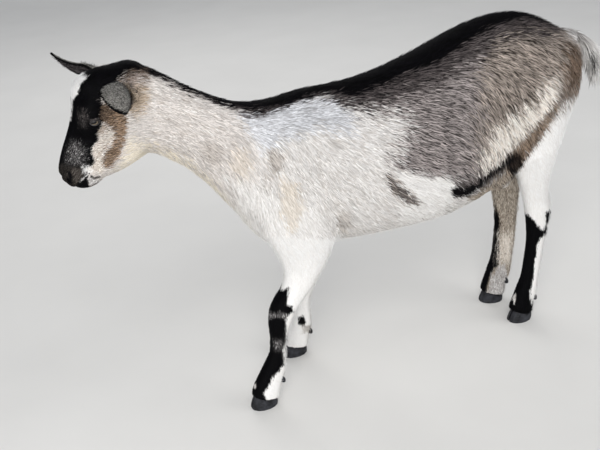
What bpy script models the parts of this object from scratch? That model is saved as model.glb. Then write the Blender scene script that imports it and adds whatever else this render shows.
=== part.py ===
"""A still, life-size alpine goat doe that stands mid-stride with its head held low.

Metres, +Z up. The goat faces -X and its left side faces -Y. The origin is the
middle of its outline seen from above, on the ground.

The flesh is modelled whole from lofts and muscle forms, fused and smoothed, and
then parted with thin cuts into the pieces that a person would name.
"""

import math
import random

import bpy
import bmesh
from mathutils import Matrix, Vector

# Driving dimensions

GAP = 0.0003                 # clearance between pieces that touch
BODY_VOXEL = 0.0055
HEAD_VOXEL = 0.0026
BODY_TRIANGLES = 5800
HEAD_TRIANGLES = 3000
TAIL_VOXEL = 0.0018
TAIL_TRIANGLES = 1600

EYE_RADIUS = 0.0145
LID_THICKNESS = 0.0032
EYE_OPENING_LENGTH = 0.0125  # half the length of the slit between the lids
EYE_OPENING_HEIGHT = 0.0050  # half its height

EAR_LENGTH = 0.130
EAR_HALF_WIDTH = 0.036       # half the width of the ear laid flat
EAR_THICKNESS = 0.0034
EAR_START = 0.020            # from the ear's root to where it leaves the head
EAR_WIDEST = 0.42            # share of its length where it is widest
EAR_CURL_BASE = 118          # half the angle that it is rolled through at its base
EAR_CURL_LOSS = 78           # and how much of that is lost towards the tip
EAR_BEND_LEFT = 0.011         # how far its middle hangs below the line to its tip
EAR_BEND_RIGHT = 0.025

CLAW_LENGTH = 0.066
CLAW_WIDTH = 0.0240
CLAW_GAP = 0.0035            # the cleft between the two claws of a foot
CORONET_FRONT = 0.036        # height of the hoof's upper edge at the toe
CORONET_BACK = 0.017         # and at the heel

TAIL_LOCKS = 27
TAIL_LOCK_LENGTH = 0.080
TAIL_LOCK_WIDTH = 0.018
TAIL_LOCK_THICKNESS = 0.006
TAIL_SEED = 7

# The head's own axes: from the muzzle up to the poll, and out of the face

MUZZLE = Vector((-0.752, 0.0, 0.645))
HEAD_SLOPE = math.radians(55.8)
HEAD_ALONG = Vector((math.cos(HEAD_SLOPE), 0.0, math.sin(HEAD_SLOPE)))
HEAD_OUT = Vector((-math.sin(HEAD_SLOPE), 0.0, math.cos(HEAD_SLOPE)))

# Stations of a loft: upper or front point, lower or back point (each x, z),
# middle y, half width, how much wider it is below its middle, turn in degrees

TORSO = (
    (-0.392, 0.698, -0.408, 0.470, 0.0, 0.060, 0.0, 0),
    (-0.335, 0.732, -0.355, 0.400, 0.0, 0.088, 0.1, 0),
    (-0.255, 0.750, -0.272, 0.374, 0.0, 0.104, 0.15, 0),
    (-0.170, 0.750, -0.180, 0.368, 0.0, 0.116, 0.2, 0),
    (-0.080, 0.755, -0.085, 0.364, 0.0, 0.128, 0.22, 0),
    (0.020, 0.777, 0.015, 0.364, 0.0, 0.139, 0.22, 0),
    (0.110, 0.806, 0.105, 0.369, 0.0, 0.143, 0.2, 0),
    (0.190, 0.831, 0.190, 0.386, 0.0, 0.136, 0.16, 0),
    (0.260, 0.842, 0.262, 0.418, 0.0, 0.120, 0.1, 0),
    (0.320, 0.840, 0.325, 0.468, 0.0, 0.100, 0.05, 0),
    (0.380, 0.820, 0.382, 0.530, 0.0, 0.088, 0.0, 0),
    (0.432, 0.790, 0.430, 0.610, 0.0, 0.070, 0.0, 0),
    (0.480, 0.758, 0.472, 0.690, 0.0, 0.042, 0.0, 0),
)

NECK = (
    (-0.622, 0.866, -0.640, 0.700, 0.0, 0.040, 0.0, 0),
    (-0.573, 0.861, -0.606, 0.682, 0.0, 0.045, 0.0, 0),
    (-0.508, 0.816, -0.578, 0.669, 0.0, 0.048, 0.0, 0),
    (-0.440, 0.773, -0.532, 0.636, 0.0, 0.055, 0.0, 0),
    (-0.372, 0.744, -0.478, 0.580, 0.0, 0.068, 0.05, 0),
    (-0.305, 0.741, -0.430, 0.510, 0.0, 0.084, 0.1, 0),
    (-0.220, 0.737, -0.375, 0.430, 0.0, 0.096, 0.1, 0),
)

# Head stations in the head's own axes: along and out of the upper and lower
# points, half width, how much wider it is below its middle
HEAD = (
    (-0.008, 0.017, -0.005, 0.000, 0.014, 0.0),
    (0.000, 0.029, -0.004, -0.012, 0.024, 0.0),
    (0.016, 0.040, 0.012, -0.024, 0.0285, 0.05),
    (0.042, 0.047, 0.034, -0.050, 0.0300, 0.1),
    (0.074, 0.057, 0.060, -0.075, 0.0330, 0.05),
    (0.104, 0.062, 0.088, -0.094, 0.0385, -0.05),
    (0.132, 0.069, 0.114, -0.107, 0.0440, -0.1),
    (0.160, 0.082, 0.146, -0.108, 0.0480, -0.15),
    (0.190, 0.090, 0.184, -0.094, 0.0480, -0.15),
    (0.213, 0.0745, 0.220, -0.070, 0.0450, -0.1),
    (0.241, 0.043, 0.252, -0.040, 0.0400, 0.0),
    (0.270, 0.010, 0.275, -0.030, 0.0300, 0.0),
)

FORELEG_LEFT = (
    (-0.392, 0.520, -0.225, 0.520, -0.074, 0.044, 0.0, 0),
    (-0.386, 0.462, -0.198, 0.452, -0.082, 0.042, 0.0, 0),
    (-0.356, 0.402, -0.224, 0.388, -0.086, 0.037, 0.0, 0),
    (-0.344, 0.352, -0.254, 0.338, -0.087, 0.0315, 0.0, 0),
    (-0.352, 0.316, -0.283, 0.298, -0.087, 0.0275, 0.0, 0),
    (-0.376, 0.284, -0.310, 0.266, -0.086, 0.0270, 0.0, 0),
    (-0.388, 0.254, -0.327, 0.240, -0.085, 0.0275, 0.0, 0),
    (-0.392, 0.222, -0.341, 0.211, -0.085, 0.0240, 0.0, 0),
    (-0.391, 0.184, -0.352, 0.174, -0.084, 0.0185, 0.0, 0),
    (-0.396, 0.145, -0.356, 0.134, -0.084, 0.0180, 0.0, 0),
    (-0.413, 0.112, -0.359, 0.090, -0.083, 0.0220, 0.0, 0),
    (-0.432, 0.082, -0.370, 0.056, -0.083, 0.0215, 0.0, 0),
    (-0.447, 0.052, -0.380, 0.022, -0.083, 0.0255, 0.0, 0),
    (-0.454, 0.020, -0.385, -0.006, -0.083, 0.0260, 0.0, 0),
)

FORELEG_RIGHT = (
    (-0.345, 0.520, -0.195, 0.520, 0.074, 0.044, 0.0, 0),
    (-0.325, 0.462, -0.155, 0.452, 0.082, 0.042, 0.0, 0),
    (-0.275, 0.400, -0.140, 0.388, 0.086, 0.037, 0.0, 0),
    (-0.238, 0.350, -0.142, 0.338, 0.087, 0.0315, 0.0, 0),
    (-0.222, 0.312, -0.150, 0.300, 0.087, 0.0275, 0.0, 0),
    (-0.232, 0.276, -0.164, 0.266, 0.086, 0.0270, 0.0, 0),
    (-0.246, 0.246, -0.180, 0.238, 0.085, 0.0275, 0.0, 0),
    (-0.255, 0.212, -0.196, 0.206, 0.085, 0.0245, 0.0, 0),
    (-0.257, 0.176, -0.214, 0.170, 0.084, 0.0185, 0.0, 0),
    (-0.260, 0.132, -0.219, 0.126, 0.084, 0.0180, 0.0, 0),
    (-0.270, 0.100, -0.218, 0.083, 0.083, 0.0220, 0.0, 0),
    (-0.286, 0.076, -0.228, 0.051, 0.083, 0.0215, 0.0, 0),
    (-0.299, 0.050, -0.234, 0.020, 0.083, 0.0255, 0.0, 0),
    (-0.304, 0.018, -0.238, -0.008, 0.083, 0.0260, 0.0, 0),
)

HINDLEG_LEFT = (
    (0.250, 0.680, 0.462, 0.704, -0.056, 0.042, 0.0, 0),
    (0.258, 0.580, 0.438, 0.632, -0.068, 0.050, 0.0, 0),
    (0.278, 0.508, 0.420, 0.556, -0.076, 0.047, 0.0, 0),
    (0.296, 0.452, 0.403, 0.484, -0.077, 0.038, 0.0, 0),
    (0.314, 0.402, 0.391, 0.424, -0.075, 0.0305, 0.0, 0),
    (0.328, 0.362, 0.396, 0.376, -0.073, 0.0260, 0.0, 0),
    (0.336, 0.328, 0.406, 0.342, -0.071, 0.0265, 0.0, 0),
    (0.344, 0.288, 0.402, 0.298, -0.069, 0.0240, 0.0, 0),
    (0.348, 0.240, 0.399, 0.244, -0.067, 0.0205, 0.0, 0),
    (0.344, 0.170, 0.395, 0.172, -0.064, 0.0195, 0.0, 0),
    (0.339, 0.126, 0.391, 0.124, -0.063, 0.0205, 0.0, 0),
    (0.329, 0.098, 0.389, 0.084, -0.062, 0.0240, 0.0, 0),
    (0.320, 0.072, 0.380, 0.048, -0.061, 0.0220, 0.0, 0),
    (0.312, 0.048, 0.380, 0.018, -0.060, 0.0255, 0.0, 0),
    (0.308, 0.016, 0.378, -0.010, -0.060, 0.0260, 0.0, 0),
)

HINDLEG_RIGHT_SHIFT = -0.012   # the right hind foot stands this much further forward
HINDLEG_RIGHT_TURN = -18       # and its toes point outwards by these degrees
HINDLEG_RIGHT_DEPTH = 0.012    # hair behind its shank makes it this much deeper

TAIL = (
    (0.445, 0.778, 0.452, 0.735, 0.0, 0.022, 0.0, 0),
    (0.488, 0.769, 0.486, 0.737, 0.0, 0.021, 0.0, 0),
    (0.520, 0.760, 0.511, 0.732, 0.0, 0.020, 0.0, 0),
    (0.548, 0.745, 0.532, 0.721, 0.0, 0.021, 0.0, 0),
    (0.569, 0.715, 0.549, 0.700, 0.0, 0.020, 0.0, 0),
    (0.581, 0.678, 0.564, 0.670, 0.0, 0.017, 0.0, 0),
    (0.585, 0.642, 0.573, 0.638, 0.0, 0.011, 0.0, 0),
)
TAIL_ROOT_STATIONS = 3         # how many of them are fused with the rump

# Where the body is parted: outlines in x and z, and the least distance from
# the middle plane

FORELEG_LEFT_CUT = (
    (-0.66, -0.05), (-0.66, 0.475), (-0.36, 0.475),
    (-0.205, 0.425), (-0.180, 0.370), (-0.17, -0.05),
)
FORELEG_RIGHT_CUT = (
    (-0.66, -0.05), (-0.66, 0.445), (-0.30, 0.445),
    (-0.150, 0.400), (-0.115, 0.360), (-0.08, -0.05),
)
FORELEG_INNER = 0.037
HINDLEG_CUT = ((0.20, -0.05), (0.240, 0.450), (0.290, 0.500), (0.560, 0.620), (0.70, 0.640), (0.70, -0.05))
HINDLEG_INNER = 0.024
NECK_BASE = ((-0.315, 0.780), (-0.440, 0.440))
HEAD_BACK = ((-0.580, 0.900), (-0.604, 0.640))

COLOURS = {
    "torso": (0.42, 0.37, 0.33),
    "neck": (0.78, 0.73, 0.66),
    "head": (0.16, 0.13, 0.12),
    "ear": (0.30, 0.29, 0.28),
    "eye": (0.45, 0.36, 0.20),
    "tail": (0.52, 0.50, 0.48),
    "leg": (0.76, 0.73, 0.68),
    "hoof": (0.10, 0.09, 0.085),
}


# Meshes and objects

def object_from(name, bm, collection):
    bmesh.ops.recalc_face_normals(bm, faces=bm.faces)
    mesh = bpy.data.meshes.new(name)
    bm.to_mesh(mesh)
    bm.free()
    obj = bpy.data.objects.new(name, mesh)
    collection.objects.link(obj)
    return obj


def baked(obj):
    """Applies the modifiers of an object."""
    depsgraph = bpy.context.evaluated_depsgraph_get()
    mesh = bpy.data.meshes.new_from_object(obj.evaluated_get(depsgraph))
    obj.modifiers.clear()
    obj.data = mesh
    return obj


def removed(*objects):
    for obj in objects:
        bpy.data.objects.remove(obj)


def boolean(obj, other, operation, solver="EXACT"):
    modifier = obj.modifiers.new(operation, "BOOLEAN")
    modifier.operation = operation
    modifier.object = other
    modifier.solver = solver
    return baked(obj)


def copied(obj, name, collection):
    twin = bpy.data.objects.new(name, obj.data.copy())
    collection.objects.link(twin)
    return twin


def largest_only(obj):
    """Keeps the largest closed surface of an object."""
    bm = bmesh.new()
    bm.from_mesh(obj.data)
    unseen = set(bm.verts)
    groups = []
    while unseen:
        stack = [unseen.pop()]
        group = set(stack)
        while stack:
            for edge in stack.pop().link_edges:
                for vert in edge.verts:
                    if vert in unseen:
                        unseen.remove(vert)
                        group.add(vert)
                        stack.append(vert)
        groups.append(group)
    groups.sort(key=len, reverse=True)
    scraps = [vert for group in groups[1:] for vert in group]
    bmesh.ops.delete(bm, geom=scraps, context="VERTS")
    bm.to_mesh(obj.data)
    bm.free()
    return obj


def set_material(obj, slot):
    name = slot.replace("_", " ")
    material = bpy.data.materials.get(name)
    if material is None:
        material = bpy.data.materials.new(name)
        material.use_nodes = True
        shader = material.node_tree.nodes["Principled BSDF"]
        shader.inputs["Base Color"].default_value = (*COLOURS[slot], 1.0)
        shader.inputs["Roughness"].default_value = 0.35 if slot in ("eye", "hoof") else 0.85
        shader.inputs["Metallic"].default_value = 0.0
        material.diffuse_color = (*COLOURS[slot], 1.0)
    obj.data.materials.clear()
    obj.data.materials.append(material)


# Lofts and forms

def spline(stations, steps):
    """The stations with rounded ones between them, by Catmull-Rom."""
    rows = [tuple(map(float, row)) for row in stations]
    rows = [rows[0], *rows, rows[-1]]
    result = []
    for a, b, c, d in zip(rows, rows[1:], rows[2:], rows[3:]):
        for step in range(steps):
            t = step / steps
            weights = (
                (-t + 2 * t * t - t * t * t) / 2,
                (2 - 5 * t * t + 3 * t * t * t) / 2,
                (t + 4 * t * t - 3 * t * t * t) / 2,
                (-t * t + t * t * t) / 2,
            )
            columns = zip(a, b, c, d)
            result.append(tuple(sum(w * v for w, v in zip(weights, column)) for column in columns))
    result.append(rows[-1])
    return result


def ring_of(station, sides, power):
    top_x, top_z, bottom_x, bottom_z, y, half_width, egg, turn = station
    top = Vector((top_x, y, top_z))
    bottom = Vector((bottom_x, y, bottom_z))
    middle = (top + bottom) / 2
    up = (top - bottom) / 2
    turned = Matrix.Rotation(math.radians(turn), 3, "Z")
    points = []
    for i in range(sides):
        angle = 2 * math.pi * i / sides
        c = math.copysign(abs(math.cos(angle)) ** (2 / power), math.cos(angle))
        s = math.copysign(abs(math.sin(angle)) ** (2 / power), math.sin(angle))
        side = Vector((0, half_width * c * (1 - egg * s), 0))
        points.append(middle + turned @ (up * s + side))
    return points


def bridge(bm, rings):
    """Joins rings of points into one closed tube with flat ends."""
    loops = [[bm.verts.new(point) for point in ring] for ring in rings]
    sides = len(loops[0])
    for near, far in zip(loops, loops[1:]):
        for i in range(sides):
            j = (i + 1) % sides
            bm.faces.new((near[i], near[j], far[j], far[i]))
    bm.faces.new(loops[0])
    bm.faces.new(loops[-1])


def loft(name, stations, collection, sides=28, power=2.1, steps=4):
    bm = bmesh.new()
    bridge(bm, [ring_of(row, sides, power) for row in spline(stations, steps)])
    return object_from(name, bm, collection)


def ellipsoid(name, centre, radii, collection, tilt=0.0, axes=None, detail=4):
    """An ellipsoid along the world's axes, tilted about Y in degrees, or along axes of its own."""
    bm = bmesh.new()
    bmesh.ops.create_icosphere(bm, subdivisions=detail, radius=1.0)
    rotation = Matrix.Rotation(math.radians(tilt), 4, "Y")
    if axes:
        rotation = Matrix(axes).transposed().to_4x4()
    place = Matrix.Translation(centre) @ rotation @ Matrix.Diagonal((*radii, 1.0))
    bmesh.ops.transform(bm, matrix=place, verts=bm.verts)
    return object_from(name, bm, collection)


def on_head(along, side, out):
    """A point given in the head's own axes."""
    return MUZZLE + HEAD_ALONG * along + HEAD_OUT * out + Vector((0, side, 0))


def head_form(name, along, side, out, radii, collection, tilt=0.0):
    """An ellipsoid on the head: radii along it, across it and out of the face."""
    slope = tilt - math.degrees(HEAD_SLOPE)
    return ellipsoid(name, on_head(along, side, out), radii, collection, tilt=slope)


def prism(name, outline, low, high, collection):
    """An outline in x and z, drawn out from one y to another."""
    bm = bmesh.new()
    rings = [[Vector((x, y, z)) for x, z in outline] for y in (low, high)]
    bridge(bm, rings)
    obj = object_from(name, bm, collection)
    return obj


def offset_outline(outline, distance):
    """A convex outline moved outwards by a distance."""
    count = len(outline)
    centre = Vector((sum(x for x, _ in outline) / count, sum(z for _, z in outline) / count))
    lines = []
    for i in range(count):
        a = Vector(outline[i])
        b = Vector(outline[(i + 1) % count])
        normal = Vector((b.y - a.y, a.x - b.x)).normalized()
        if normal.dot(a - centre) < 0:
            normal = -normal
        lines.append((normal, normal.dot(a) + distance))
    points = []
    for i in range(count):
        (n1, d1), (n2, d2) = lines[i - 1], lines[i]
        det = n1.x * n2.y - n1.y * n2.x
        points.append(((d1 * n2.y - d2 * n1.y) / det, (n1.x * d2 - n2.x * d1) / det))
    return points


def half_space(name, line, forward, shift, collection):
    """A block on one side of a line across the body, moved along by a shift."""
    top = Vector((line[0][0], line[0][1]))
    bottom = Vector((line[1][0], line[1][1]))
    normal = Vector((bottom.y - top.y, top.x - bottom.x)).normalized()
    if (normal.x < 0) != forward:
        normal = -normal
    along = (top - bottom).normalized()
    reach = 1.5
    start = (top + bottom) / 2 + normal * shift
    outline = [start + along * reach, start + along * reach + normal * reach]
    outline += [start - along * reach + normal * reach, start - along * reach]
    return prism(name, [tuple(point) for point in outline], -reach, reach, collection)


# The flesh, modelled whole

def sided(make):
    """Calls a function for the left side and for the right."""
    return [piece for side in (-1, 1) for piece in make(side)]


def body_forms(scratch):
    forms = [
        loft("barrel", TORSO, scratch, sides=36),
        loft("neck loft", NECK, scratch),
        loft("left fore", FORELEG_LEFT, scratch, sides=20),
        loft("right fore", FORELEG_RIGHT, scratch, sides=20),
        loft("left hind", HINDLEG_LEFT, scratch, sides=20),
        loft("right hind", right_hind_stations(), scratch, sides=20),
        loft("tail root", TAIL[:TAIL_ROOT_STATIONS + 1], scratch, sides=16),
        ellipsoid("brisket", (-0.337, 0, 0.464), (0.048, 0.046, 0.056), scratch),
        ellipsoid("withers", (-0.205, 0, 0.705), (0.100, 0.030, 0.038), scratch),
        ellipsoid("udder", (0.335, 0, 0.478), (0.055, 0.036, 0.050), scratch),
    ]

    def pair(side):
        return [
            ellipsoid("scapula", (-0.268, side * 0.072, 0.605), (0.070, 0.031, 0.110), scratch, tilt=24),
            ellipsoid("shoulder point", (-0.364, side * 0.066, 0.528), (0.036, 0.034, 0.050), scratch),
            ellipsoid("upper arm", (-0.290, side * 0.082, 0.505), (0.095, 0.036, 0.060), scratch, tilt=20),
            ellipsoid("hook", (0.296, side * 0.072, 0.788), (0.056, 0.021, 0.026), scratch, tilt=20),
            ellipsoid("pin bone", (0.468, side * 0.036, 0.728), (0.026, 0.020, 0.030), scratch),
            ellipsoid("rump", (0.384, side * 0.060, 0.715), (0.096, 0.038, 0.070), scratch, tilt=20),
            ellipsoid("buttock", (0.436, side * 0.050, 0.625), (0.044, 0.034, 0.105), scratch, tilt=15),
            ellipsoid("thigh", (0.352, side * 0.078, 0.608), (0.082, 0.042, 0.120), scratch, tilt=-10),
            ellipsoid("stifle", (0.300, side * 0.086, 0.525), (0.040, 0.030, 0.060), scratch, tilt=-20),
            ellipsoid("flank fold", (0.262, side * 0.086, 0.490), (0.036, 0.018, 0.075), scratch, tilt=24),
            ellipsoid("teat", (0.322, side * 0.020, 0.428), (0.0095, 0.0095, 0.022), scratch, tilt=14),
        ]

    return forms + sided(pair)


def right_hind_stations():
    """The left hind leg's stations, mirrored, shifted and turned out."""
    stations = []
    count = len(HINDLEG_LEFT)
    for index, (top_x, top_z, bottom_x, bottom_z, y, half_width, egg, _) in enumerate(HINDLEG_LEFT):
        share = index / (count - 1)
        shift = HINDLEG_RIGHT_SHIFT * share
        turn = HINDLEG_RIGHT_TURN * min(1.0, 1.6 * share)
        back = bottom_x + shift + HINDLEG_RIGHT_DEPTH * math.sin(math.pi * share ** 1.5) ** 2
        stations.append((top_x + shift, top_z, back, bottom_z, -y, half_width, egg, turn))
    return stations


def skull_forms(scratch):
    rows = []
    for top_along, top_out, low_along, low_out, half_width, egg in HEAD:
        top = on_head(top_along, 0, top_out)
        low = on_head(low_along, 0, low_out)
        rows.append((top.x, top.z, low.x, low.z, 0.0, half_width, egg, 0))
    forms = [
        loft("skull", rows, scratch, sides=32, power=2.2),
        head_form("nose bridge", 0.075, 0, 0.0445, (0.075, 0.020, 0.0125), scratch, tilt=-6),
        head_form("poll", 0.206, 0, 0.050, (0.044, 0.038, 0.024), scratch, tilt=38),
    ]

    def pair(side):
        return [
            head_form("orbit", 0.144, side * 0.034, 0.030, (0.042, 0.0215, 0.034), scratch),
            head_form("brow", 0.156, side * 0.037, 0.048, (0.034, 0.017, 0.020), scratch),
            head_form("under eye", 0.096, side * 0.027, 0.012, (0.056, 0.013, 0.030), scratch),
            head_form("cheekbone", 0.165, side * 0.039, 0.006, (0.052, 0.014, 0.018), scratch),
            head_form("cheek", 0.116, side * 0.026, -0.040, (0.056, 0.020, 0.050), scratch),
            head_form("horn bud", 0.186, side * 0.024, 0.071, (0.014, 0.012, 0.012), scratch),
            ear_base(side, scratch),
        ]

    return forms + sided(pair)


def face_forms(scratch):
    """What is set on the skull once its own forms have run together."""
    forms = [head_form("chin", 0.0135, 0, -0.0228, (0.031, 0.0205, 0.0145), scratch, tilt=44)]

    def pair(side):
        return [
            head_form("upper lip", 0.014, side * 0.016, 0.0095, (0.0245, 0.0135, 0.0150), scratch),
            head_form("nostril wing", 0.013, side * 0.0155, 0.0255, (0.0185, 0.0125, 0.0125), scratch),
            lid_ball(side, scratch),
        ]

    return forms + sided(pair)


def fused(name, forms, voxel, smoothing, collection, softening=0, softness=None):
    """Forms joined into one closed, smoothed surface, softer where softness is 1."""
    bm = bmesh.new()
    for form in forms:
        bm.from_mesh(form.data)
    removed(*forms)
    obj = object_from(name, bm, collection)
    remesh = obj.modifiers.new("fuse", "REMESH")
    remesh.mode = "VOXEL"
    remesh.voxel_size = voxel
    baked(obj)
    if softness:
        group = obj.vertex_groups.new(name="soft")
        for vert in obj.data.vertices:
            group.add([vert.index], softness(vert.co), "REPLACE")
        soften = obj.modifiers.new("soften", "SMOOTH")
        soften.factor = 0.5
        soften.iterations = softening
        soften.vertex_group = "soft"
    smooth = obj.modifiers.new("smooth", "SMOOTH")
    smooth.factor = 0.5
    smooth.iterations = smoothing
    baked(obj)
    obj.vertex_groups.clear()
    return obj


def thinned(obj, triangles):
    """The same surface in fewer triangles."""
    faces = sum(len(face.vertices) - 2 for face in obj.data.polygons)
    decimate = obj.modifiers.new("thin out", "DECIMATE")
    decimate.ratio = triangles / faces
    return largest_only(baked(obj))


def body_softness(point):
    """Muscles run together on the trunk, and legs keep their joints."""
    return min(1.0, max(0.0, (point.z - 0.40) / 0.10))


def skull_softness(point):
    """The muzzle keeps its thin edges."""
    along = (point - MUZZLE).dot(HEAD_ALONG)
    return min(1.0, max(0.15, along / 0.09))


# Eyes and lids

def eye_centre(side):
    return on_head(0.1420, side * 0.0440, 0.0330)


def eye_frame(side):
    """Axes of an eye: along the slit between the lids, up across it, outwards."""
    outward = Vector((-0.24, side, 0.10)).normalized()
    along = HEAD_ALONG * 0.62 - HEAD_OUT * 0.78
    along = (along - outward * along.dot(outward)).normalized()
    up = outward.cross(along) * side
    if up.z < 0:
        up = -up
    return along, up, outward


def lid_ball(side, scratch):
    radius = EYE_RADIUS + LID_THICKNESS
    return ellipsoid("lids", eye_centre(side), (radius, radius, radius), scratch)


def eye_ball(name, side, collection):
    bm = bmesh.new()
    bmesh.ops.create_icosphere(bm, subdivisions=3, radius=EYE_RADIUS)
    bmesh.ops.translate(bm, vec=eye_centre(side), verts=bm.verts)
    return object_from(name, bm, collection)


def eye_slit(side, scratch):
    """The almond opening between the lids."""
    along, up, outward = eye_frame(side)
    bm = bmesh.new()
    bmesh.ops.create_icosphere(bm, subdivisions=2, radius=1.0)
    axes = Matrix((along, up, outward)).transposed().to_4x4()
    size = Matrix.Diagonal((EYE_OPENING_LENGTH, EYE_OPENING_HEIGHT, EYE_RADIUS * 0.9, 1.0))
    centre = eye_centre(side) + outward * EYE_RADIUS * 0.9 - up * 0.001
    bmesh.ops.transform(bm, matrix=Matrix.Translation(centre) @ axes @ size, verts=bm.verts)
    return object_from("slit", bm, scratch)


def socket(side, scratch):
    radius = EYE_RADIUS + GAP
    return ellipsoid("socket", eye_centre(side), (radius, radius, radius), scratch, detail=3)


# Nostrils and mouth

def nostril(side, scratch):
    """A slanting slit with a rounder inner end."""
    slope = -56 - math.degrees(HEAD_SLOPE)
    centre = on_head(0.003, side * 0.0185, 0.0215)
    return ellipsoid("nostril", centre, (0.0088, 0.0070, 0.0032), scratch, tilt=slope, detail=2)


def mouth_line(scratch):
    """A thin bent tube that follows the lips from one corner round to the other."""
    corner = 0.033
    front = -0.012
    half_width = 0.0275
    rings = []
    count = 17
    for i in range(count):
        angle = math.pi * i / (count - 1)
        along = corner + (front - corner) * math.sin(angle) ** 0.8
        side = -half_width * math.copysign(abs(math.cos(angle)) ** 0.8, math.cos(angle))
        drop = -0.0085 + 0.0065 * math.sin(angle) ** 3
        centre = on_head(along, side, drop)
        outwards = Vector((0, side, 0)) / half_width - HEAD_ALONG * math.sin(angle)
        outwards.normalize()
        reach = 0.0050
        height = 0.0013
        rings.append([
            centre + outwards * reach,
            centre + HEAD_OUT * height,
            centre - outwards * reach,
            centre - HEAD_OUT * height,
        ])
    bm = bmesh.new()
    bridge(bm, rings)
    return object_from("mouth line", bm, scratch)


# Ears

def ear_base(side, scratch):
    """The fleshy root that the ear stands on."""
    tipward, across, hollow = ear_axes(side)
    centre = ear_root(side) + tipward * 0.004
    return ellipsoid("ear base", centre, (0.032, 0.0185, 0.0185), scratch, axes=(tipward, across, hollow))


def ear_root(side):
    if side < 0:
        return Vector((-0.627, -0.052, 0.821))
    return Vector((-0.626, 0.053, 0.827))


def ear_direction(side):
    if side < 0:
        return Vector((-0.469, -0.807, 0.357)).normalized()
    return Vector((-0.748, 0.553, 0.366)).normalized()


def ear_axes(side):
    """Axes of an ear: to its tip, across it, and out of its hollow."""
    tipward = ear_direction(side)
    hollow = Vector((-0.82, 0.34, -0.20)) if side < 0 else Vector((-0.86, -0.12, -0.49))
    hollow = (hollow - tipward * hollow.dot(tipward)).normalized()
    across = tipward.cross(hollow) * side
    return tipward, across, hollow


def ear(name, side, collection):
    """A cupped leaf, rolled into a funnel at its base."""
    tipward, across, hollow = ear_axes(side)
    root = ear_root(side) + tipward * (EAR_START + GAP)
    hang = EAR_BEND_LEFT if side < 0 else EAR_BEND_RIGHT
    rows, columns = 9, 10
    outer, inner = [], []
    for row in range(rows + 1):
        u = row / rows
        swell = math.sin(math.pi / 2 * min(1.0, u / EAR_WIDEST))
        taper = 1 - (max(0.0, u - EAR_WIDEST) / (1 - EAR_WIDEST)) ** 1.8
        half = EAR_HALF_WIDTH * max(0.10, (0.86 + 0.14 * swell) * taper)
        opening = math.sin(math.pi / 2 * min(1.0, u * 1.9))
        curl = math.radians(EAR_CURL_BASE - EAR_CURL_LOSS * opening)
        radius = half / curl
        lean = 0.006 * math.sin(math.pi * u)
        bend = Vector((0, 0, -hang)) * math.sin(math.pi * u)
        spine = root + tipward * EAR_LENGTH * u + bend
        spine -= hollow * (lean + radius * (1 - u) * 0.7)
        for grid, skin in ((outer, EAR_THICKNESS / 2), (inner, -EAR_THICKNESS / 2)):
            line = []
            for column in range(columns + 1):
                angle = curl * (2 * column / columns - 1)
                rim = 1 - 0.55 * abs(2 * column / columns - 1) ** 3
                reach = radius + skin * rim
                line.append(
                    spine
                    + across * reach * math.sin(angle)
                    + hollow * (radius - reach * math.cos(angle))
                )
            grid.append(line)
    bm = bmesh.new()
    sheets = [
        [[bm.verts.new(point) for point in line] for line in grid]
        for grid in (outer, inner)
    ]
    for sheet in sheets:
        for row in range(rows):
            for column in range(columns):
                a, b = sheet[row][column], sheet[row][column + 1]
                c, d = sheet[row + 1][column + 1], sheet[row + 1][column]
                bm.faces.new((a, b, c))
                bm.faces.new((a, c, d))
    front, back = sheets
    edge = [(row, 0) for row in range(rows)] + [(rows, column) for column in range(columns)]
    edge += [(row, columns) for row in range(rows, 0, -1)]
    edge += [(0, column) for column in range(columns, 0, -1)]
    for (r1, c1), (r2, c2) in zip(edge, edge[1:] + edge[:1]):
        bm.faces.new((front[r1][c1], front[r2][c2], back[r2][c2], back[r1][c1]))
    return object_from(name, bm, collection)


def ear_cut(side, scratch):
    """A block that leaves a flat face on the head for the ear to stand on."""
    tipward, across, hollow = ear_axes(side)
    bm = bmesh.new()
    bmesh.ops.create_cube(bm, size=1.0)
    axes = Matrix((tipward, across, hollow)).transposed().to_4x4()
    depth, width = 0.040, 0.062
    centre = ear_root(side) + tipward * (EAR_START + depth / 2)
    size = Matrix.Diagonal((depth, width, width, 1.0))
    bmesh.ops.transform(bm, matrix=Matrix.Translation(centre) @ axes @ size, verts=bm.verts)
    return object_from("ear cut", bm, scratch)


# Feet

def claw_outline(side, length, width, shift):
    """Half an almond: straight along the cleft, curved on the outer side."""
    sides = 14
    points = []
    for i in range(sides):
        angle = 2 * math.pi * i / sides
        x = -math.cos(angle) * length / 2 + shift
        bulge = math.sin(angle)
        if bulge > 0:
            power = 0.75 if math.cos(angle) < 0 else 0.95
            y = CLAW_GAP / 2 + width * bulge ** power
        else:
            y = CLAW_GAP / 2 + 0.04 * width * (1 + bulge)
        points.append((x, side * y))
    return points


def coronet_height(x):
    """Height of the hoof's upper edge at a distance behind the foot's middle."""
    share = (x + CLAW_LENGTH / 2) / CLAW_LENGTH
    return CORONET_FRONT + (CORONET_BACK - CORONET_FRONT) * share


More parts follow.
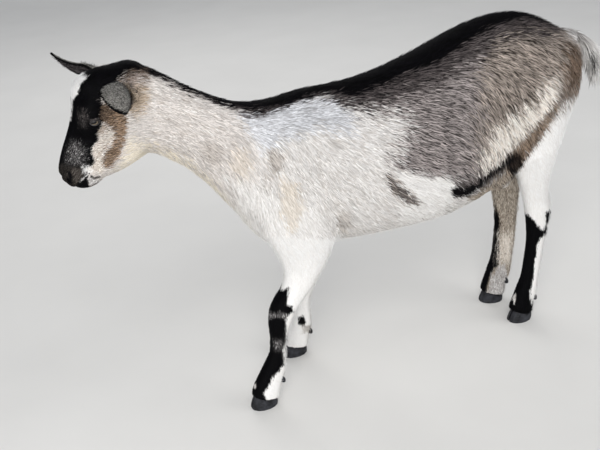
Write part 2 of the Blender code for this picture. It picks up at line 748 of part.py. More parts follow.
def claw(name, foot, side, collection):
    """One claw of a foot, from its sole to the coronet."""
    x, y, turn = foot
    rings = []
    for share, length, width, shift in (
        (0.0, CLAW_LENGTH, CLAW_WIDTH, 0.0),
        (0.12, CLAW_LENGTH * 1.0, CLAW_WIDTH * 1.02, 0.0006),
        (0.6, CLAW_LENGTH * 0.93, CLAW_WIDTH * 0.98, 0.004),
        (1.0, CLAW_LENGTH * 0.84, CLAW_WIDTH * 0.92, 0.0065),
    ):
        outline = claw_outline(side, length, width, shift)
        rings.append([Vector((px, py, share * (coronet_height(px) - GAP))) for px, py in outline])
    bm = bmesh.new()
    bridge(bm, rings)
    place = Matrix.Translation((x, y, 0)) @ Matrix.Rotation(math.radians(turn), 4, "Z")
    bmesh.ops.transform(bm, matrix=place, verts=bm.verts)
    return object_from(name, bm, collection)


def below_coronet(foot, scratch):
    """A block whose upper face is the plane between leg and hoof."""
    x, y, turn = foot
    reach = 0.06
    outline = (
        (-reach, coronet_height(-reach)),
        (reach, coronet_height(reach)),
        (reach, -reach),
        (-reach, -reach),
    )
    block = prism("below coronet", outline, -reach, reach, scratch)
    place = Matrix.Translation((x, y, 0)) @ Matrix.Rotation(math.radians(turn), 4, "Z")
    block.data.transform(place)
    return block


def dewclaw(name, foot, side, height, back, grow, collection):
    """A small blunt claw at the back of the fetlock."""
    x, y, turn = foot
    bm = bmesh.new()
    bmesh.ops.create_uvsphere(bm, u_segments=7, v_segments=5, radius=1.0)
    size = Matrix.Diagonal((0.0066 + grow, 0.0058 + grow, 0.0115 + grow, 1.0))
    place = (
        Matrix.Translation((x, y, 0))
        @ Matrix.Rotation(math.radians(turn), 4, "Z")
        @ Matrix.Translation((back, side * 0.0115, height))
        @ Matrix.Rotation(math.radians(-24), 4, "Y")
        @ size
    )
    bmesh.ops.transform(bm, matrix=place, verts=bm.verts)
    return object_from(name, bm, collection)


# Feet: middle of the sole (x, y) and turn in degrees, then the dewclaws' height
# and distance behind it
FEET = {
    "fore_left": ((-0.422, -0.083, 0), 0.066, 0.0500),
    "fore_right": ((-0.273, 0.083, 0), 0.062, 0.0450),
    "hind_left": ((0.342, -0.060, 0), 0.064, 0.0400),
    "hind_right": ((0.330, 0.060, HINDLEG_RIGHT_TURN), 0.064, 0.0400),
}


# Tail

def lock(root, direction, length, width, droop, thickness, scratch):
    """One flat, tapered lock that bends down along its length."""
    rings = []
    point = Vector(root)
    heading = Vector(direction).normalized()
    count = 4
    for i in range(count + 1):
        share = i / count
        side = Vector((0, 0, 1)).cross(heading)
        if side.length < 0.2:
            side = Vector((0, 1, 0))
        side.normalize()
        face = heading.cross(side).normalized()
        wide = width / 2 * (1 - share ** 1.6) + 0.0007
        thick = thickness / 2 * (1 - share) + 0.0005
        rings.append([point + side * wide, point + face * thick, point - side * wide, point - face * thick])
        point = point + heading * length / count
        heading = (heading + Vector((0, 0, -droop))).normalized()
    bm = bmesh.new()
    bridge(bm, rings)
    return object_from("lock", bm, scratch)


def tail(name, collection, scratch):
    """The tail's core with a fringe of locks down its sides and off its tip."""
    stations = TAIL[TAIL_ROOT_STATIONS - 2:]
    forms = [loft("core", stations, scratch, sides=20)]
    rows = spline(stations, 4)
    draws = random.Random(TAIL_SEED)
    for i in range(TAIL_LOCKS):
        share = 0.38 + 0.62 * i / (TAIL_LOCKS - 1)
        row = rows[min(len(rows) - 1, int(share * (len(rows) - 1)))]
        side = (-1, 0, 1)[i % 3]
        back = 0.35 + 0.3 * draws.random()
        top_x, top_z, bottom_x, bottom_z, _, half_width, *_ = row
        root = Vector((
            top_x * back + bottom_x * (1 - back),
            side * half_width * 0.45,
            top_z * back + bottom_z * (1 - back),
        ))
        outwards = side * (0.22 + 0.2 * draws.random())
        direction = Vector((0.12 + 0.25 * draws.random(), outwards, -0.85))
        length = TAIL_LOCK_LENGTH * (0.75 + 0.25 * draws.random()) * (1.1 - 0.35 * share)
        width, thickness = TAIL_LOCK_WIDTH, TAIL_LOCK_THICKNESS
        forms.append(lock(root, direction, length, width, 0.2, thickness, scratch))
    whole = fused(name, forms, TAIL_VOXEL, 1, collection)
    thinned(whole, TAIL_TRIANGLES)
    return cut_by(whole, "DIFFERENCE", tail_cut(scratch, -1))


def tail_cut(scratch, direction):
    """A block behind (1) or before (-1) the flat face where the tail meets the rump."""
    station = TAIL[TAIL_ROOT_STATIONS - 1]
    top = Vector(station[0:2])
    bottom = Vector(station[2:4])
    height = top - bottom
    reach = 0.08
    side = -direction * GAP / 2
    outline = (
        (top.x + height.x + side, top.y + height.y),
        (top.x + height.x + side + direction * reach, top.y + height.y),
        (bottom.x - height.x + side + direction * reach, bottom.y - height.y),
        (bottom.x - height.x + side, bottom.y - height.y),
    )
    return prism("tail cut", outline, -reach, reach, scratch)


# The whole goat

def leg_region(name, outline, inner, side, grow, scratch):
    low, high = sorted((side * (inner - grow), side * 0.40))
    return prism(name, offset_outline(outline, grow), low, high, scratch)


LEGS = (
    ("foreleg_left", FORELEG_LEFT_CUT, FORELEG_INNER, -1, "fore_left"),
    ("foreleg_right", FORELEG_RIGHT_CUT, FORELEG_INNER, 1, "fore_right"),
    ("hindleg_left", HINDLEG_CUT, HINDLEG_INNER, -1, "hind_left"),
    ("hindleg_right", HINDLEG_CUT, HINDLEG_INNER, 1, "hind_right"),
)


def build_legs(whole, parts, scratch):
    for name, outline, inner, side, foot_name in LEGS:
        foot, dew_height, dew_back = FEET[foot_name]
        leg = copied(whole, name, parts)
        region = leg_region("region", outline, inner, side, -GAP / 2, scratch)
        boolean(leg, region, "INTERSECT")
        block = below_coronet(foot, scratch)
        boolean(leg, block, "DIFFERENCE")
        removed(region, block)
        for claw_side, claw_name in ((-1, "left"), (1, "right")):
            claw(f"hoof_{foot_name}_{claw_name}", foot, claw_side, parts)
            pocket = dewclaw("pocket", foot, claw_side, dew_height, dew_back, GAP, scratch)
            boolean(leg, pocket, "DIFFERENCE")
            removed(pocket)
            dewclaw(f"dewclaw_{foot_name}_{claw_name}", foot, claw_side, dew_height, dew_back, 0.0, parts)
        largest_only(leg)


def cut_by(obj, operation, *cutters):
    for cutter in cutters:
        boolean(obj, cutter, operation)
    removed(*cutters)
    return obj


def build_body(parts, scratch):
    """Torso, neck and legs from one fused form."""
    forms = body_forms(scratch) + skull_forms(scratch)
    whole = fused("whole", forms, BODY_VOXEL, 5, scratch, softening=60, softness=body_softness)
    thinned(whole, BODY_TRIANGLES)
    build_legs(whole, parts, scratch)
    neck = copied(whole, "neck", parts)
    cut_by(neck, "INTERSECT", half_space("front", NECK_BASE, True, GAP / 2, scratch))
    cut_by(neck, "INTERSECT", half_space("back", HEAD_BACK, False, GAP / 2, scratch))
    largest_only(neck)
    torso = copied(whole, "torso", parts)
    cut_by(torso, "INTERSECT", half_space("back", NECK_BASE, False, GAP / 2, scratch))
    for _, outline, inner, side, _ in LEGS:
        cut_by(torso, "DIFFERENCE", leg_region("region", outline, inner, side, GAP / 2, scratch))
    cut_by(torso, "DIFFERENCE", tail_cut(scratch, 1))
    largest_only(torso)
    removed(whole)


def build_head(parts, scratch):
    """The head from a finer fused form, with its sockets, nostrils and mouth."""
    forms = skull_forms(scratch) + [loft("neck loft", NECK[:5], scratch)]
    skull = fused("skull", forms, HEAD_VOXEL, 4, scratch, softening=40, softness=skull_softness)
    head = fused("head", [skull, *face_forms(scratch)], HEAD_VOXEL, 4, parts)
    thinned(head, HEAD_TRIANGLES)
    cut_by(head, "INTERSECT", half_space("front", HEAD_BACK, True, GAP / 2, scratch))
    cut_by(head, "DIFFERENCE", mouth_line(scratch))
    for side in (-1, 1):
        cut_by(head, "DIFFERENCE", socket(side, scratch), eye_slit(side, scratch))
        cut_by(head, "DIFFERENCE", nostril(side, scratch), ear_cut(side, scratch))
    largest_only(head)
    for side, word in ((-1, "left"), (1, "right")):
        eye_ball(f"eye_{word}", side, parts)
        ear(f"ear_{word}", side, parts)


def centre_outline(parts):
    """Moves the goat so that the origin is under the middle of its outline."""
    corners = [vert.co for obj in parts.objects for vert in obj.data.vertices]
    shift = Vector((
        -(min(c.x for c in corners) + max(c.x for c in corners)) / 2,
        -(min(c.y for c in corners) + max(c.y for c in corners)) / 2,
        -min(c.z for c in corners),
    ))
    for obj in parts.objects:
        obj.data.transform(Matrix.Translation(shift))


def main():
    for obj in list(bpy.data.objects):
        bpy.data.objects.remove(obj)
    parts = bpy.data.collections.new("alpine goat")
    scratch = bpy.data.collections.new("cutters")
    bpy.context.scene.collection.children.link(parts)
    bpy.context.scene.collection.children.link(scratch)
    build_body(parts, scratch)
    build_head(parts, scratch)
    tail("tail", parts, scratch)
    centre_outline(parts)
    for obj in parts.objects:
        kind = obj.name.split("_")[0]
        slot = {"foreleg": "leg", "hindleg": "leg", "dewclaw": "hoof"}.get(kind, kind)
        set_material(obj, slot)
        obj.data.shade_smooth()


main()
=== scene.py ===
"""Looks of the alpine doe: one skin over the solids of flesh, a coat of tufts that follows
the lie of the hair, eyes with lids, horn on the hooves, and a plain stage."""

import math

import bmesh
import bpy
import numpy as np
from mathutils import Matrix, Vector
from mathutils.bvhtree import BVHTree
from mathutils.kdtree import KDTree


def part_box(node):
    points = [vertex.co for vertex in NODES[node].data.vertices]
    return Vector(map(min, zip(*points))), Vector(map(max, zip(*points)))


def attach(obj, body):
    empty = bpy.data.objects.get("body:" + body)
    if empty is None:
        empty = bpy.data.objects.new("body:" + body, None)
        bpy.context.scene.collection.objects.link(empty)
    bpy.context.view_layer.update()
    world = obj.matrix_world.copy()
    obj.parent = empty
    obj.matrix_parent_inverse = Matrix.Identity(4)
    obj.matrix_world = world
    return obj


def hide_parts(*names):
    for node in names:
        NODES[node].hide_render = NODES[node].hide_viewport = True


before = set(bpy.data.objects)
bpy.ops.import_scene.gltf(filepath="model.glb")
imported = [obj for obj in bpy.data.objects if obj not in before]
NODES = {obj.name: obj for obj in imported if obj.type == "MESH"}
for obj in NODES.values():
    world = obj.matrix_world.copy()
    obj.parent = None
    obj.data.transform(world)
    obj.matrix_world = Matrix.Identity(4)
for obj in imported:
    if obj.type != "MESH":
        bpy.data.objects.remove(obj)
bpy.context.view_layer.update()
BODY = "root"

# Sizes of the mesh, in metres
SKIN_VOXEL = 0.0036
SEAM_SWELL = 0.0006              # the solids grow by this much, so that the thin cuts close

# The goat's own axes: its middle plane is y = 0 and the head has axes of its own
MUZZLE = Vector((-0.752, 0.0, 0.645))
HEAD_SLOPE = math.radians(55.8)
HEAD_ALONG = Vector((math.cos(HEAD_SLOPE), 0.0, math.sin(HEAD_SLOPE)))
HEAD_OUT = Vector((-math.sin(HEAD_SLOPE), 0.0, math.cos(HEAD_SLOPE)))
EYE_PLACE = (0.1420, 0.0440, 0.0330)     # along the head, to the side, and out of the face


def on_head(along, side, out):
    """A point given in the head's own axes."""
    return MUZZLE + HEAD_ALONG * along + HEAD_OUT * out + Vector((0, side, 0))


def eye_centre(side):
    along, across, out = EYE_PLACE
    return on_head(along, side * across, out)


def box_middle(node):
    low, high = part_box(node)
    return (low + high) / 2


SHIFT = box_middle("eye_left") - eye_centre(-1)

# The camera that fits the picture: where it stands, and its axes
CAMERA_PLACE = Vector((-0.9088, -1.6827, 1.3358))
CAMERA_AHEAD = Vector((0.31934, 0.83182, -0.45399))
CAMERA_RIGHT = Vector((0.91994, -0.38709, -0.06215))
CAMERA_UP = Vector((0.22744, 0.39780, 0.88884))
CAMERA_LENS = 51.0
CAMERA_SENSOR = 36.0
PHOTO_WIDTH, PHOTO_HEIGHT = 600, 450
PIXELS = CAMERA_LENS / CAMERA_SENSOR * PHOTO_WIDTH

# Flesh and its coat
FLESH = (
    "torso", "neck", "head", "tail",
    "foreleg_left", "foreleg_right", "hindleg_left", "hindleg_right",
    "ear_left", "ear_right",
)
EARS = ("ear_left", "ear_right")
COAT_DEPTH = {                   # the skin lies this far inside the solids
    "torso": 0.0035, "neck": 0.0030, "head": 0.0008, "tail": 0.003,
    "foreleg_left": 0.0012, "foreleg_right": 0.0012,
    "hindleg_left": 0.0014, "hindleg_right": 0.0014, "ear_left": 0.0, "ear_right": 0.0,
}
SMOOTHING = {                    # share of each smoothing step that a part takes
    "torso": 1.0, "neck": 1.0, "head": 0.12, "tail": 0.5,
    "foreleg_left": 0.16, "foreleg_right": 0.16,
    "hindleg_left": 0.2, "hindleg_right": 0.2, "ear_left": 0.1, "ear_right": 0.1,
}
SMOOTHING_STEPS = 26
SHARE_BLUR, DEPTH_BLUR = 12, 20  # steps that blur these tables over the seams

DEWCLAW_ROOT = Vector((-0.0060, 0.0, 0.0040))    # from a dewclaw to the flesh that it stands on
DEWCLAW_SWELLING = 0.0075

# The tail's core, a chain of balls under its locks
TAIL_CORE = (
    (0.470, 0.760, 0.020),
    (0.500, 0.752, 0.017),
    (0.526, 0.740, 0.015),
    (0.548, 0.722, 0.013),
    (0.562, 0.695, 0.010),
    (0.570, 0.665, 0.007),
)
CHAIN_STEPS = 6                  # balls from one station to the next

# Eyes
EYE_RADIUS = 0.0145
EYE_SHAPES = 1.8                 # of its radius, within which an eye shapes the skin
ON_LIDS = 1.6                    # of its radius, within which a place is on its lids
OVER_BALL = 1.3                  # and over the ball itself
LID_THICKNESS = 0.0032
EYE_FORWARD, EYE_UP = -0.24, 0.10    # how far an eye looks ahead and up for one to the side
SLIT_WAY = (0.62, 0.78)          # the slit's direction, along the head and into the face
FRONT_OF_EYE = (0.1, 0.4)        # of its radius, between which it starts to shape the skin
OPENING_HALF_LENGTH = 0.0094
OPENING_ABOVE = 0.0020
OPENING_BELOW = 0.0064
ROUND_ABOVE, ROUND_BELOW = 0.75, 0.65    # powers that round the upper and the lower lid's edge
OPENING_BACK = 0.0022            # the opening's middle lies this far behind the eye's
LID_EDGE = 0.0008                # the lids' edges stand this far off the eyeball
LID_WIDTH = 0.0060               # from its edge, over which a lid grows to its full thickness
LID_CREASE = 0.0011              # depth of the fold above the upper lid and below the lower one
LID_MARGIN_BELOW = 0.0026        # width of the bare black margin of each lid
LID_MARGIN_ABOVE = 0.0012
LID_EDGE_SOFT = 0.0004
LID_REACH = 1.9                  # of a lid's width, over which it passes into the face
CREASE_PLACE = 1.15              # of a lid's width, off the opening
CREASE_HALF_WIDTH = 0.0013
LOWER_CREASE = 0.6               # depth of the lower lid's fold, as a share of the upper one's
TEAR_PLACE = (0.004, 0.001)      # in front of the opening and below its middle line
TEAR_SIZE = (0.004, 0.0012)
TEAR_DEPTH = 0.0014
PUPIL_HALF_LENGTH = 0.0060
PUPIL_HALF_HEIGHT = 0.0031
PUPIL_COLOUR = (0.002, 0.002, 0.003, 1)
PUPIL_SQUARENESS = 3.0           # power that squares its outline
IRIS_REACH = 0.0118              # where the iris has its darkest ring
EYE_TURNS, EYE_RINGS = 64, 40
CORNEA_RADIUS = 0.0095
CORNEA_BULGE = 0.0010
LID_RING_THICKNESS = 0.0014
LID_RING_OUT = 0.0003            # the ring's middle lies this far out of the eyeball
LID_RING_STEPS, LID_RING_SIDES = 64, 8
BEHIND_EYE = 0.0018              # in the opening the skin lies this far inside the eyeball

# Nose and mouth
NOSTRIL = (0.003, 0.0185, 0.0215)    # along the head, to the side, and out of the face
NOSTRIL_WAY = (0.56, 0.83)       # its slit's direction, along the head and out of the face
NOSTRIL_LENGTH = 0.0092          # half of it
NOSTRIL_HEIGHT = 0.0030
NOSTRIL_DEPTH = 0.0030
NOSTRIL_ARCH = (0.5, 0.3)        # bend of its slit, and how far that is moved back
NOSTRIL_WIDENING = 0.25
NOSTRIL_REACH = 0.016
NOSTRIL_SLOPE = (0.45, 1.05)     # of its outline, between which it rises to the skin
NOSTRIL_RIM = (0.0009, 1.5, 0.3)     # height of its rim, its place and its half width
MOUTH_CORNER = 0.033
MOUTH_FRONT = -0.012
MOUTH_HALF_WIDTH = 0.0275
MOUTH_SQUARENESS = 0.8           # power that squares its curve round the front
MOUTH_DROP = 0.0085              # under the head's middle line at its corners
MOUTH_RISE = 0.0065              # and how much of that it gains in front
MOUTH_STEPS = 40
MOUTH_REACH = 0.010
MOUTH_DEPTH = 0.0022
MOUTH_HALF_HEIGHT = 0.0012
LIP_SWELL = 0.0008
LIP_PLACE = 0.0036               # from the line of the mouth
LIP_HALF_WIDTH = 0.0018
FACE_MIDDLE = on_head(0.01, 0, 0.01)
FACE_REACH = 0.055               # how far round that the nose and mouth are shaped
FAR = 9.0                        # stands for a place out of reach

# Ears
EAR_LENGTH = 0.130
EAR_HALF_WIDTH = 0.036           # half the width of the ear laid flat
EAR_THICKNESS = 0.0026
EAR_START = 0.0203               # from the ear's root to where the solid starts
EAR_SUNK = 0.14                  # share of its length that the skin's ear starts before that
EAR_WIDEST = 0.42                # share of its length where it is widest
EAR_CURL_BASE = 118              # half the angle that it is rolled through at its base
EAR_CURL_LOSS = 78               # and how much of that is lost towards the tip
EAR_BEND = {-1: 0.011, 1: 0.025}     # how far its middle hangs below the line to its tip
EAR_ROOT = {-1: Vector((-0.627, -0.052, 0.821)), 1: Vector((-0.626, 0.053, 0.827))}
EAR_WAY = {-1: Vector((-0.469, -0.807, 0.357)), 1: Vector((-0.748, 0.553, 0.366))}
EAR_HOLLOW = {-1: Vector((-0.82, 0.34, -0.20)), 1: Vector((-0.86, -0.12, -0.49))}
EAR_BASE_WIDTH, EAR_TIP_WIDTH = 0.86, 0.06     # shares of its greatest half width
EAR_ARCH = 0.006                 # how far its middle bows out of its hollow
EAR_LEAN = 0.7
EAR_TAPER_POWER, EAR_RIM_POWER = 1.8, 6
EAR_OPENING = 1.9                # the ear has unrolled before its middle, by this rate
EAR_RIM_THINNING = 0.75
EAR_ROWS = 56
EAR_COLUMNS = 36


# Small helpers

def linear(colour):
    """A colour of the picture, 0 to 255, as linear light."""
    share = np.asarray(colour, float) / 255
    return np.where(share <= 0.04045, share / 12.92, ((share + 0.055) / 1.055) ** 2.4)


def smoothstep(low, high, value):
    share = np.clip((value - low) / (high - low), 0, 1)
    return share * share * (3 - 2 * share)


def unit(vectors):
    length = np.linalg.norm(vectors, axis=-1, keepdims=True)
    return vectors / np.maximum(length, 1e-9)


def dot(a, b):
    return np.einsum("...i,...i->...", a, b)


def new_object(name, data):
    obj = bpy.data.objects.new(name, data)
    bpy.context.scene.collection.objects.link(obj)
    return obj


def mesh_from(name, points, triangles):
    mesh = bpy.data.meshes.new(name)
    mesh.vertices.add(len(points))
    mesh.vertices.foreach_set("co", np.asarray(points, np.float32).ravel())
    mesh.loops.add(triangles.size)
    mesh.loops.foreach_set("vertex_index", triangles.astype(np.int32).ravel())
    mesh.polygons.add(len(triangles))
    mesh.polygons.foreach_set("loop_start", np.arange(0, triangles.size, 3, dtype=np.int32))
    mesh.update(calc_edges=True)
    mesh.shade_smooth()
    return mesh


def mesh_of(bm, name):
    """A bmesh turned into a mesh."""
    mesh = bpy.data.meshes.new(name)
    bm.to_mesh(mesh)
    bm.free()
    return mesh


def points_of(mesh):
    points = np.empty(len(mesh.vertices) * 3, np.float32)
    mesh.vertices.foreach_get("co", points)
    return points.reshape(-1, 3).astype(float)


def triangles_of(mesh):
    mesh.calc_loop_triangles()
    corners = np.empty(len(mesh.loop_triangles) * 3, np.int32)
    mesh.loop_triangles.foreach_get("vertices", corners)
    return corners.reshape(-1, 3)


def edges_of(mesh):
    ends = np.empty(len(mesh.edges) * 2, np.int32)
    mesh.edges.foreach_get("vertices", ends)
    return ends.reshape(-1, 2)


def vertex_normals(points, triangles):
    corners = points[triangles]
    face = np.cross(corners[:, 1] - corners[:, 0], corners[:, 2] - corners[:, 0])
    total = np.zeros_like(points)
    for corner in range(3):
        for axis in range(3):
            total[:, axis] += np.bincount(
                triangles[:, corner], weights=face[:, axis], minlength=len(points)
            )
    return unit(total)


def smoothed(points, edges, shares, steps):
    """Points moved towards the mean of their neighbours, each by its own share."""
    count = np.bincount(edges.ravel(), minlength=len(points))
    count = np.maximum(count, 1)[:, None]
    for _ in range(steps):
        mean = np.empty_like(points)
        for axis in range(3):
            mean[:, axis] = np.bincount(
                edges[:, 0], weights=points[edges[:, 1], axis], minlength=len(points)
            )
            mean[:, axis] += np.bincount(
                edges[:, 1], weights=points[edges[:, 0], axis], minlength=len(points)
            )
        points = points + (mean / count - points) * shares[:, None]
    return points


# The skin

def swollen_copy(bm, node):
    """The solid of a node, welded and grown a little, added to a bmesh."""
    part = bmesh.new()
    part.from_mesh(NODES[node].data)
    bmesh.ops.remove_doubles(part, verts=part.verts, dist=1e-6)
    bmesh.ops.recalc_face_normals(part, faces=part.faces)
    part.normal_update()
    moves = [vert.normal * SEAM_SWELL for vert in part.verts]
    for vert, move in zip(part.verts, moves):
        vert.co += move
    scratch = mesh_of(part, "scratch")
    bm.from_mesh(scratch)
    bpy.data.meshes.remove(scratch)


def ball(bm, centre, radius):
    place = Matrix.Translation(centre + SHIFT)
    bmesh.ops.create_icosphere(bm, subdivisions=3, radius=radius, matrix=place)


def chain(bm, stations):
    """Balls close together along a chain, for a core of flesh."""
    for first, second in zip(stations, stations[1:]):
        for step in range(CHAIN_STEPS):
            share = step / CHAIN_STEPS
            x, z, radius = (a * (1 - share) + b * share for a, b in zip(first, second))
            ball(bm, Vector((x, 0, z)), radius)


def flesh_mesh():
    """All flesh as one closed mesh, with the eye sockets filled."""
    bm = bmesh.new()
    for node in FLESH:
        if node != "tail" and node not in EARS:
            swollen_copy(bm, node)
    for side in (-1, 1):
        ball(bm, eye_centre(side), EYE_RADIUS + LID_THICKNESS)
    chain(bm, TAIL_CORE)
    for name in NODES:
        if name.startswith("dewclaw"):
            ball(bm, box_middle(name) - SHIFT + DEWCLAW_ROOT, DEWCLAW_SWELLING)
    obj = new_object("flesh", mesh_of(bm, "flesh"))
    remesh = obj.modifiers.new("remesh", "REMESH")
    remesh.mode = "VOXEL"
    remesh.voxel_size = SKIN_VOXEL
    graph = bpy.context.evaluated_depsgraph_get()
    result = bpy.data.meshes.new_from_object(obj.evaluated_get(graph))
    bpy.data.objects.remove(obj)
    return result


def node_tree(names):
    """A search tree over the solids of some nodes, and each triangle's node."""
    points, triangles, owner = [], [], []
    start = 0
    for index, name in enumerate(names):
        mesh = NODES[name].data
        own = triangles_of(mesh)
        points.append(points_of(mesh))
        triangles.append(own + start)
        owner.append(np.full(len(own), index))
        start += len(mesh.vertices)
    points = np.concatenate(points)
    triangles = np.concatenate(triangles)
    tree = BVHTree.FromPolygons(points.tolist(), triangles.tolist())
    return tree, np.concatenate(owner)


def owners_of(points):
    tree, owner = node_tree(FLESH)
    return np.array([owner[tree.find_nearest(point)[2]] for point in points.tolist()])


def refined(mesh, centre, radius):
    """The mesh with the faces within a ball cut in four."""
    bm = bmesh.new()
    bm.from_mesh(mesh)
    middle = centre + SHIFT
    faces = [f for f in bm.faces if (f.calc_center_median() - middle).length < radius]
    edges = list({edge for face in faces for edge in face.edges})
    bmesh.ops.subdivide_edges(bm, edges=edges, cuts=1, use_grid_fill=True)
    bm.to_mesh(mesh)
    bm.free()


def eye_axes(side):
    """Axes of an eye: along the slit between the lids, up across it, outwards."""
    outward = Vector((EYE_FORWARD, side, EYE_UP)).normalized()
    along = HEAD_ALONG * SLIT_WAY[0] - HEAD_OUT * SLIT_WAY[1]
    along = (along - outward * along.dot(outward)).normalized()
    up = outward.cross(along) * side
    if up.z < 0:
        up = -up
    return along, up, outward


def lid_edges(x):
    """How far the upper and the lower lid's edge are from the slit's middle line."""
    share = np.clip(1 - (x / OPENING_HALF_LENGTH) ** 2, 0, 1)
    return OPENING_ABOVE * share ** ROUND_ABOVE, OPENING_BELOW * share ** ROUND_BELOW


def about_eye(places, side):
    """Places seen from an eye's centre: along its slit, across it, out, how far away,
    and how far inside the opening between the lids, negative outside it."""
    along, up, outward = (np.array(axis) for axis in eye_axes(side))
    away = places - np.array(eye_centre(side) + SHIFT)
    reach = np.linalg.norm(away, axis=1)
    x, y = away @ along * EYE_RADIUS / reach, away @ up * EYE_RADIUS / reach
    x = x - OPENING_BACK
    above, below = lid_edges(x)
    inside = np.minimum(above - y, y + below)
    past = np.abs(x) - OPENING_HALF_LENGTH
    beside = -np.hypot(past, y)
    return x, y, away @ outward, reach, np.where(past > 0, beside, inside)


def with_lids(points):
    """The skin drawn over the eyeballs, with an almond opening and a fold round it."""
    for side in (-1, 1):
        centre = np.array(eye_centre(side) + SHIFT)
        x, y, out, reach, inside = about_eye(points, side)
        outside = np.maximum(-inside, 0)
        lid = EYE_RADIUS + LID_EDGE
        lid = lid + (LID_THICKNESS - LID_EDGE) * smoothstep(0, LID_WIDTH, outside)
        fold = np.exp(-((outside - LID_WIDTH * CREASE_PLACE) / CREASE_HALF_WIDTH) ** 2)
        lid = lid - LID_CREASE * fold * np.where(y > 0, 1.0, LOWER_CREASE)
        ahead = (x + OPENING_HALF_LENGTH + TEAR_PLACE[0]) / TEAR_SIZE[0]
        below = (y + TEAR_PLACE[1]) / TEAR_SIZE[1]
        lid = lid - TEAR_DEPTH * np.exp(-(ahead ** 2 + below ** 2))
        share = smoothstep(-LID_EDGE_SOFT, LID_EDGE_SOFT, inside)
        target = lid * (1 - share) + (EYE_RADIUS - BEHIND_EYE) * share
        near = 1 - smoothstep(LID_WIDTH, LID_WIDTH * LID_REACH, outside)
        near = near * smoothstep(*FRONT_OF_EYE, out / reach)
        near = near * (reach < EYE_RADIUS * EYE_SHAPES)
        scale = 1 + (target / reach - 1) * near
        points = centre + (points - centre) * scale[:, None]
    return points


def nostril_shape(places, side):
    """How far out of a nostril's outline places are: 1 on it, less inside."""
    along, across, out = NOSTRIL
    away = places - np.array(on_head(along, side * across, out) + SHIFT)
    first, second = NOSTRIL_WAY
    long_way = np.array(HEAD_ALONG * first + HEAD_OUT * second)
    cross_way = np.array(HEAD_ALONG * second - HEAD_OUT * first)
    u = away @ long_way / NOSTRIL_LENGTH
    bend, back = NOSTRIL_ARCH
    w = away @ cross_way / NOSTRIL_HEIGHT - bend * u * u + back
    w = w * (1 + NOSTRIL_WIDENING * u)
    shape = np.hypot(u, w)
    return np.where(np.linalg.norm(away, axis=1) < NOSTRIL_REACH, shape, FAR)


def mouth_places():
    """Points along the mouth from corner to corner, and the way outwards at each."""
    places, ways = [], []
    for step in range(MOUTH_STEPS + 1):
        angle = math.pi * step / MOUTH_STEPS
        forward, across = math.sin(angle), math.cos(angle)
        along = MOUTH_CORNER + (MOUTH_FRONT - MOUTH_CORNER) * forward ** MOUTH_SQUARENESS
        side = -MOUTH_HALF_WIDTH * math.copysign(abs(across) ** MOUTH_SQUARENESS, across)
        drop = MOUTH_RISE * forward ** 3 - MOUTH_DROP
        way = Vector((0, side, 0)) / MOUTH_HALF_WIDTH - HEAD_ALONG * forward
        places.append(on_head(along, side, drop) + SHIFT)
        ways.append(way.normalized())
    return places, ways


def from_mouth(places):
    """How far places are above or below the line of the mouth, and the way out of it."""
    line, ways = mouth_places()
    tree = KDTree(len(line))
    for index, place in enumerate(line):
        tree.insert(place, index)
    tree.balance()
    found = np.array([tree.find(place)[1] for place in places.tolist()])
    line, ways = np.array(line), np.array(ways)
    away = places - line[found]
    out = dot(away, ways[found])
    gap = np.linalg.norm(away - ways[found] * out[:, None], axis=1)
    return np.where(np.abs(out) < MOUTH_REACH, gap, FAR), ways[found]


def with_face(points, normals):
    """Nostrils pressed in and the mouth drawn between the swell of the lips."""
    near = np.linalg.norm(points - np.array(FACE_MIDDLE + SHIFT), axis=1) < FACE_REACH
    places, out = points[near], normals[near]
    push = np.zeros(len(places))
    rim_height, rim_place, rim_width = NOSTRIL_RIM
    for side in (-1, 1):
        shape = nostril_shape(places, side)
        push -= NOSTRIL_DEPTH * (1 - smoothstep(*NOSTRIL_SLOPE, shape))
        push += rim_height * np.exp(-((shape - rim_place) / rim_width) ** 2)
    moved = places + out * push[:, None]
    gap, ways = from_mouth(places)
    groove = -MOUTH_DEPTH * np.exp(-(gap / MOUTH_HALF_HEIGHT) ** 2)
    groove += LIP_SWELL * np.exp(-((gap - LIP_PLACE) / LIP_HALF_WIDTH) ** 2)
    points = points.copy()
    points[near] = moved + ways * groove[:, None]
    return points


FINER_PLACES = (                 # the head, each eye, and the nose: middle and reach
    (on_head(0.12, 0, 0.0), 0.175),
    (eye_centre(-1), 0.024),
    (eye_centre(1), 0.024),
    (on_head(0.004, 0, 0.005), 0.048),
)


def blurred(values, edges, steps):
    """One value a point, blurred over the mesh."""
    even = np.full(len(values), 0.5)
    return smoothed(values[:, None].repeat(3, 1), edges, even, steps)[:, 0]


